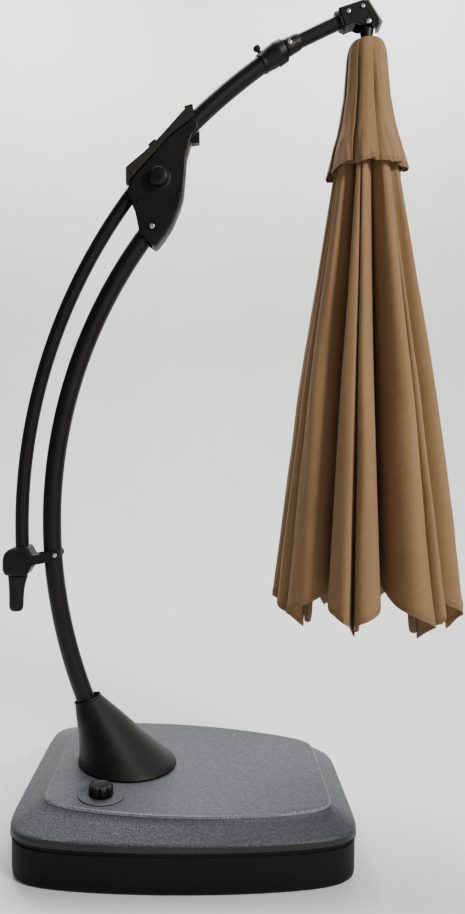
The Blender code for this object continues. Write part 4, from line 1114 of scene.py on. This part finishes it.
def build_canopy_cloth():
    section = spread(gore_outline(), PER_GORE, lambda depth: 0.045 + 0.239 * depth)
    rows_down = 72
    rows, cloth = [], []
    for r in range(rows_down + 1):
        t = r / rows_down
        row, flat_row = [], []
        for index, (p, share) in enumerate(section):
            gore = index // PER_GORE
            x_hem = min(share, 1 - share) * 2 * GORE_HALF
            hem = HEM_Z + 1.35 * (RIB_LENGTH - math.hypot(MID_LENGTH, GORE_HALF - x_hem))
            hem -= 0.012 * math.exp(-((x_hem / 0.03) ** 2))
            z = MAIN_TOP + (hem - MAIN_TOP) * t
            azimuth = FIRST_RIB + p.x * TAU / RIBS
            r_in, r_out = between(z, MAIN_IN), between(z, MAIN_OUT)
            depth = p.y
            # slack cloth: slow waves down each flap and small wrinkles that grow to the hem
            out = clamp((depth - 0.45) / 0.4)
            loose = (0.25 + 0.75 * t) * out * min(1.0, x_hem / 0.05)
            wave = wobble(p.x * 3.0, 0.8 * z, 0.0, 1 + gore % 3) * 0.022
            small = wobble(p.x * 9.0, 2.4 * z, depth, 4) * 0.009
            crease = wobble(p.x * 17.0, 9.0 * z, depth * 2, 6) * 0.0022 * t
            radius = r_in + (r_out - r_in) * depth + (wave + small + crease) * loose
            # the lobes are narrow under the crown and open to the hem
            from_rib = p.x - round(p.x)
            narrowed = 0.44 * (1 - t) ** 1.2 * clamp((depth - 0.25) / 0.4)
            azimuth -= from_rib * TAU / RIBS * narrowed
            toward = math.cos(azimuth - math.radians(4.0))
            radius *= 1 - 0.055 * max(0.0, toward) ** 3 * clamp((depth - 0.75) / 0.2)
            azimuth += (wobble(gore * 3.7, 1.1 * z, depth, 9) * 0.03) * out * loose
            row.append(azimuth_point(azimuth, radius, z))
            scale = (CLOTH_TOP - z) / (CLOTH_TOP - HEM_Z)
            seam = min(share, 1 - share) * 2 * GORE_HALF * scale
            flat_row.append((seam, z - hem, (gore + share) * 2 * GORE_HALF * scale))
        rows.append(row)
        cloth.append(flat_row)
    canopy = tier("canopy", rows, cloth, ["canopy_fabric"])
    binding = hem_binding("canopy_hem", rows, cloth, 0.0009)
    pockets = [rib_pocket(k) for k in range(RIBS)]
    return canopy, [binding, *pockets]


def rib_pocket(k):
    """The sewn pocket that holds a rib's end."""
    turn = FIRST_RIB + k * TAU / RIBS
    out = Vector((math.cos(turn), math.sin(turn), 0))
    side = Vector((-math.sin(turn), math.cos(turn), 0))
    rings = []
    for z, wide, deep in ((0.638, 0.006, 0.004), (0.642, 0.01, 0.0075), (0.66, 0.0115, 0.009),
                          (0.7, 0.0115, 0.0088), (0.722, 0.01, 0.008)):
        radius = 0.2 - (z - 0.655) * (0.164 / 1.645)
        middle = Vector((CANOPY_X, 0, z)) + out * radius
        rings.append([middle + side * wide * math.copysign(abs(math.cos(a)) ** 0.6, math.cos(a))
                      + out * deep * math.copysign(abs(math.sin(a)) ** 0.6, math.sin(a))
                      for a in (TAU * (i + 0.5) / 24 for i in range(24))])
    return finish_mesh(f"rib_pocket_{k + 1}", skin(rings), "fabric_hem", "canopy", angle=50)


def hem_binding(name, rows, cloth, thick):
    """A folded strip sewn round the hem: it wraps the last rows of the cloth."""
    last, above = rows[-1], rows[-3]
    count = len(last)
    points, faces = [], []
    for i, here in enumerate(last):
        j = (i + 1) % count
        reach = (above[i] - here).normalized()
        across = (last[j] - last[i - 1]).normalized().cross(reach).normalized() * thick
        high, low = here + reach * 0.013, here - reach * 0.002
        points += [high + across, low + across, low - across, high - across]
        for k in range(4):
            m = (k + 1) % 4
            faces.append((i * 4 + k, i * 4 + m, j * 4 + m, j * 4 + k))
    places = [(0.03, 0.03 + 0.004 * k, place[2]) for place in cloth[-1] for k in range(4)]
    return cloth_piece(name, points, faces, places, "fabric_hem", closed=True)


VENT_PROFILE = [
    (2.3395, 0.0215), (2.3385, 0.033), (2.334, 0.044), (2.324, 0.051), (2.3, 0.057), (2.173, 0.067),
    (2.078, 0.082), (2.019, 0.099), (1.96, 0.113), (1.9, 0.122),
]


def vent_pleat(place, width):
    """One gore of the upper tier, with a knife pleat whose visible edge is at place."""
    return [
        (0.0, 0.86), (place * 0.35, 0.97), (place * 0.75, 1.0), (place - 0.015, 0.97), (place, 0.86),
        (place - 0.02, 0.74), (place - width * 0.5, 0.64), (place - width, 0.52),
        (place - width - 0.015, 0.4), (place - width + 0.01, 0.28), (place - width * 0.4, 0.2),
        (place + 0.04, 0.3), (place + (1 - place) * 0.55, 0.72),
    ]


VENT_PLEATS = [0.66, 0.58, 0.7, 0.62, 0.64, 0.55, 0.72, 0.6]


def build_vent():
    """The small upper tier that covers the vent: soft lobes with knife pleats and arched hems."""
    per, rows_down = 60, 48
    points = []
    for k in range(RIBS):
        points += [(k + share, depth) for share, depth in vent_pleat(VENT_PLEATS[k], 0.42)]
    section = spread(points, per, lambda depth: 0.108 + 0.01 * depth)
    rows, cloth = [], []
    for r in range(rows_down + 1):
        t = r / rows_down
        row, flat_row = [], []
        for index, (p, share) in enumerate(section):
            gore = index // per
            away = min(share, 1 - share) * 2
            arch = 0.02 * away ** 1.5
            hem = 1.948 + arch + 0.008 * noise.noise(Vector((gore * 2.1, share * 2, 3)))
            z = VENT_TOP + (hem - VENT_TOP) * t ** 1.05
            azimuth = FIRST_RIB + p.x * TAU / RIBS + 0.05 * t * wobble(gore * 1.7, z * 4, 2.2, 8)
            layers = 0.016 * min(1.0, t * 2.2) * (p.y - 1)
            ridge = 0.006 * (t ** 0.8) * (math.cos(math.pi * (p.x % 1.0)) ** 2 - 0.35)
            wrinkle = wobble(p.x * 3.3, z * 9, 1.5, 3) * 0.005 * t ** 2
            fine = wobble(p.x * 10, z * 26, 4.5, 5) * 0.0038 * t ** 3
            radius = between(z, VENT_PROFILE) + layers + ridge + wrinkle + fine
            row.append(azimuth_point(azimuth, radius, z))
            scale = max(0.02, (2.345 - z) / (CLOTH_TOP - HEM_Z))
            flat_row.append((away * GORE_HALF * scale, z - hem, (gore + share) * 2 * GORE_HALF * scale))
        rows.append(row)
        cloth.append(flat_row)
    vent = tier("vent_tier", rows, cloth, ["vent_fabric"])
    binding = hem_binding("vent_hem", rows, cloth, 0.0008)
    return vent, binding


def build_crown():
    """The neck with its yoke."""
    neck = [
        (0.0045, 2.342), (0.0175, 2.342), (0.0185, 2.3428), (0.0185, 2.345), (0.0168, 2.3466),
        (0.0168, 2.349), (0.018, 2.357), (0.0196, 2.3672), (0.02, 2.369), (0.0196, 2.3716),
        (0.0186, 2.3722), (0.0045, 2.3722),
    ]
    stem = turned(neck, 64, (CANOPY_X, 0, 0), loop=True)
    yoke = finish_mesh("neck", stem, "black_plastic", "canopy", ["neck_yoke"])
    ear = [(-0.0085, 2.369), (0.0085, 2.369), (0.0095, 2.385), (0.0065, 2.393), (0, 2.3955), (-0.0065, 2.393),
           (-0.0095, 2.385)]
    outline = rounded([(CANOPY_X + x, z) for x, z in ear], 0.004)
    ears = [prism(outline, *sorted((side * 0.0165, side * 0.0105))) for side in (-1, 1)]
    carve(yoke, *ears, operation="UNION")
    hole = turned([(0.0044, -0.05), (0.0044, 0.05)], 32, (HANG[0], 0, HANG[1]), (0, 1, 0))
    carve(yoke, hole)


# ---------------------------------------------------------------- the CAD's own pieces that stay
def dress_kept_nodes():
    """The pieces that show little keep the CAD's mesh, with softened edges and node materials."""
    kept = {
        "swivel_spindle": ("steel", 0.0004), "thrust_washer": ("nylon", 0.0003),
        "swivel_socket": ("aluminium", 0.0008), "mast_head": ("aluminium", 0.0008),
        "guide_bush_lower": ("nylon", 0.0004), "guide_bush_upper": ("nylon", 0.0004),
        "guide_pad_near": ("nylon", 0.0005), "guide_pad_far": ("nylon", 0.0005),
        "pulley": ("nylon", 0.0003), "canopy_pole": ("powder_coat", 0.0), "runner": ("black_plastic", 0.001),
        "rib_hub": ("black_plastic", 0.001), "lift_cord_arm": ("cord", 0.0),
        "lift_cord_canopy": ("cord", 0.0),
    }
    for k in range(1, RIBS + 1):
        kept[f"rib_{k}"] = ("powder_coat", 0.001)
        kept[f"strut_{k}"] = ("powder_coat", 0.0008)
    for name, (finish, bevel) in kept.items():
        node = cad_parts[name]
        node = bpy.data.objects[node] if isinstance(node, str) else node
        node.data.materials.clear()
        node.data.materials.append(FINISHES[finish])
        if bevel:
            add_bevel(node, bevel, 2, 40.0)


# ---------------------------------------------------------------- floor, light and camera
FLOOR_Z = -0.0008                # just under the base's foot


def floor_material():
    p = Paint("floor", 0.6)
    cloud = p.noise(1.4, 5.0, 0.6)
    grain = p.noise(240.0, 3.0)
    colour = p.ramp(cloud, (0.3, (0.8, 0.8, 0.79)), (0.75, (0.86, 0.86, 0.85)))
    return p.finish(colour, p.ramp(cloud, (0.3, 0.55), (0.75, 0.7)), p.bump(grain, 0.05, 0.0003))


def build_stage():
    bm = bmesh.new()
    edge = [Vector((-14, 0, 0)), Vector((14, 0, 0))]
    rows = []
    profile = [(-14.0, FLOOR_Z), (3.0, FLOOR_Z), (3.01, FLOOR_Z)]
    radius = 2.5
    for i in range(13):
        a = math.radians(90 * i / 12)
        profile.append((5.0 + radius * math.sin(a), radius - radius * math.cos(a) + FLOOR_Z))
    profile.append((7.5, 11.0))
    for y, z in profile:
        rows.append([bm.verts.new((p.x, y, z)) for p in edge])
    for low, high in zip(rows, rows[1:]):
        bm.faces.new((low[0], low[1], high[1], high[0]))
    floor = finish_mesh("studio_floor", bm, "nylon", None, closed=False)
    floor.data.materials.clear()
    floor.data.materials.append(floor_material())

    lights = {
        "key": ((3.4, -2.9, 3.4), (0.4, 0.0, 1.2), 1.0, 250.0, (1.0, 0.985, 0.96)),
        "front": ((1.0, -4.8, 1.2), (0.3, 0.0, 1.0), 1.8, 16.0, (1.0, 0.99, 0.98)),
        "top": ((0.1, 1.4, 5.2), (0.2, -0.1, 0.1), 2.6, 190.0, (1.0, 1.0, 1.0)),
        "backdrop_left": ((-2.5, 4.4, 7.5), (-1.5, 7.4, 1.5), 3.0, 420.0, (1.0, 1.0, 1.0)),
        "backdrop_right": ((3.0, 4.4, 7.5), (2.0, 7.4, 1.5), 3.0, 420.0, (1.0, 1.0, 1.0)),
    }
    for name, (place, target, size, power, colour) in lights.items():
        light = bpy.data.lights.new(name, "AREA")
        light.shape = "SQUARE"
        light.size = size
        light.energy = power
        light.color = colour
        lamp = bpy.data.objects.new(name, light)
        lamp.location = place
        lamp.rotation_euler = (Vector(target) - Vector(place)).to_track_quat("-Z", "Y").to_euler()
        bpy.context.scene.collection.objects.link(lamp)

    world = bpy.data.worlds.new("studio")
    world.use_nodes = True
    world.node_tree.nodes["Background"].inputs["Color"].default_value = (0.93, 0.95, 1.0, 1.0)
    world.node_tree.nodes["Background"].inputs["Strength"].default_value = 0.2
    bpy.context.scene.world = world

    camera_data = bpy.data.cameras.new("camera")
    camera_data.sensor_width = 36.0
    camera_data.lens = 29.54
    camera_data.shift_x = 0.1209
    camera_data.shift_y = -0.0131
    camera = bpy.data.objects.new("camera", camera_data)
    camera.location = (0.245, -2.287, 1.146)
    camera.rotation_euler = (math.radians(90.0), 0.0, math.radians(6.5))
    bpy.context.scene.collection.objects.link(camera)
    bpy.context.scene.camera = camera


build_base()
build_caps()
build_mast()
build_housing()
build_guide()
build_controls()
build_arm()
build_crown()
canopy, canopy_trims = build_canopy_cloth()
vent, vent_hem = build_vent()
dress_kept_nodes()
build_stage()
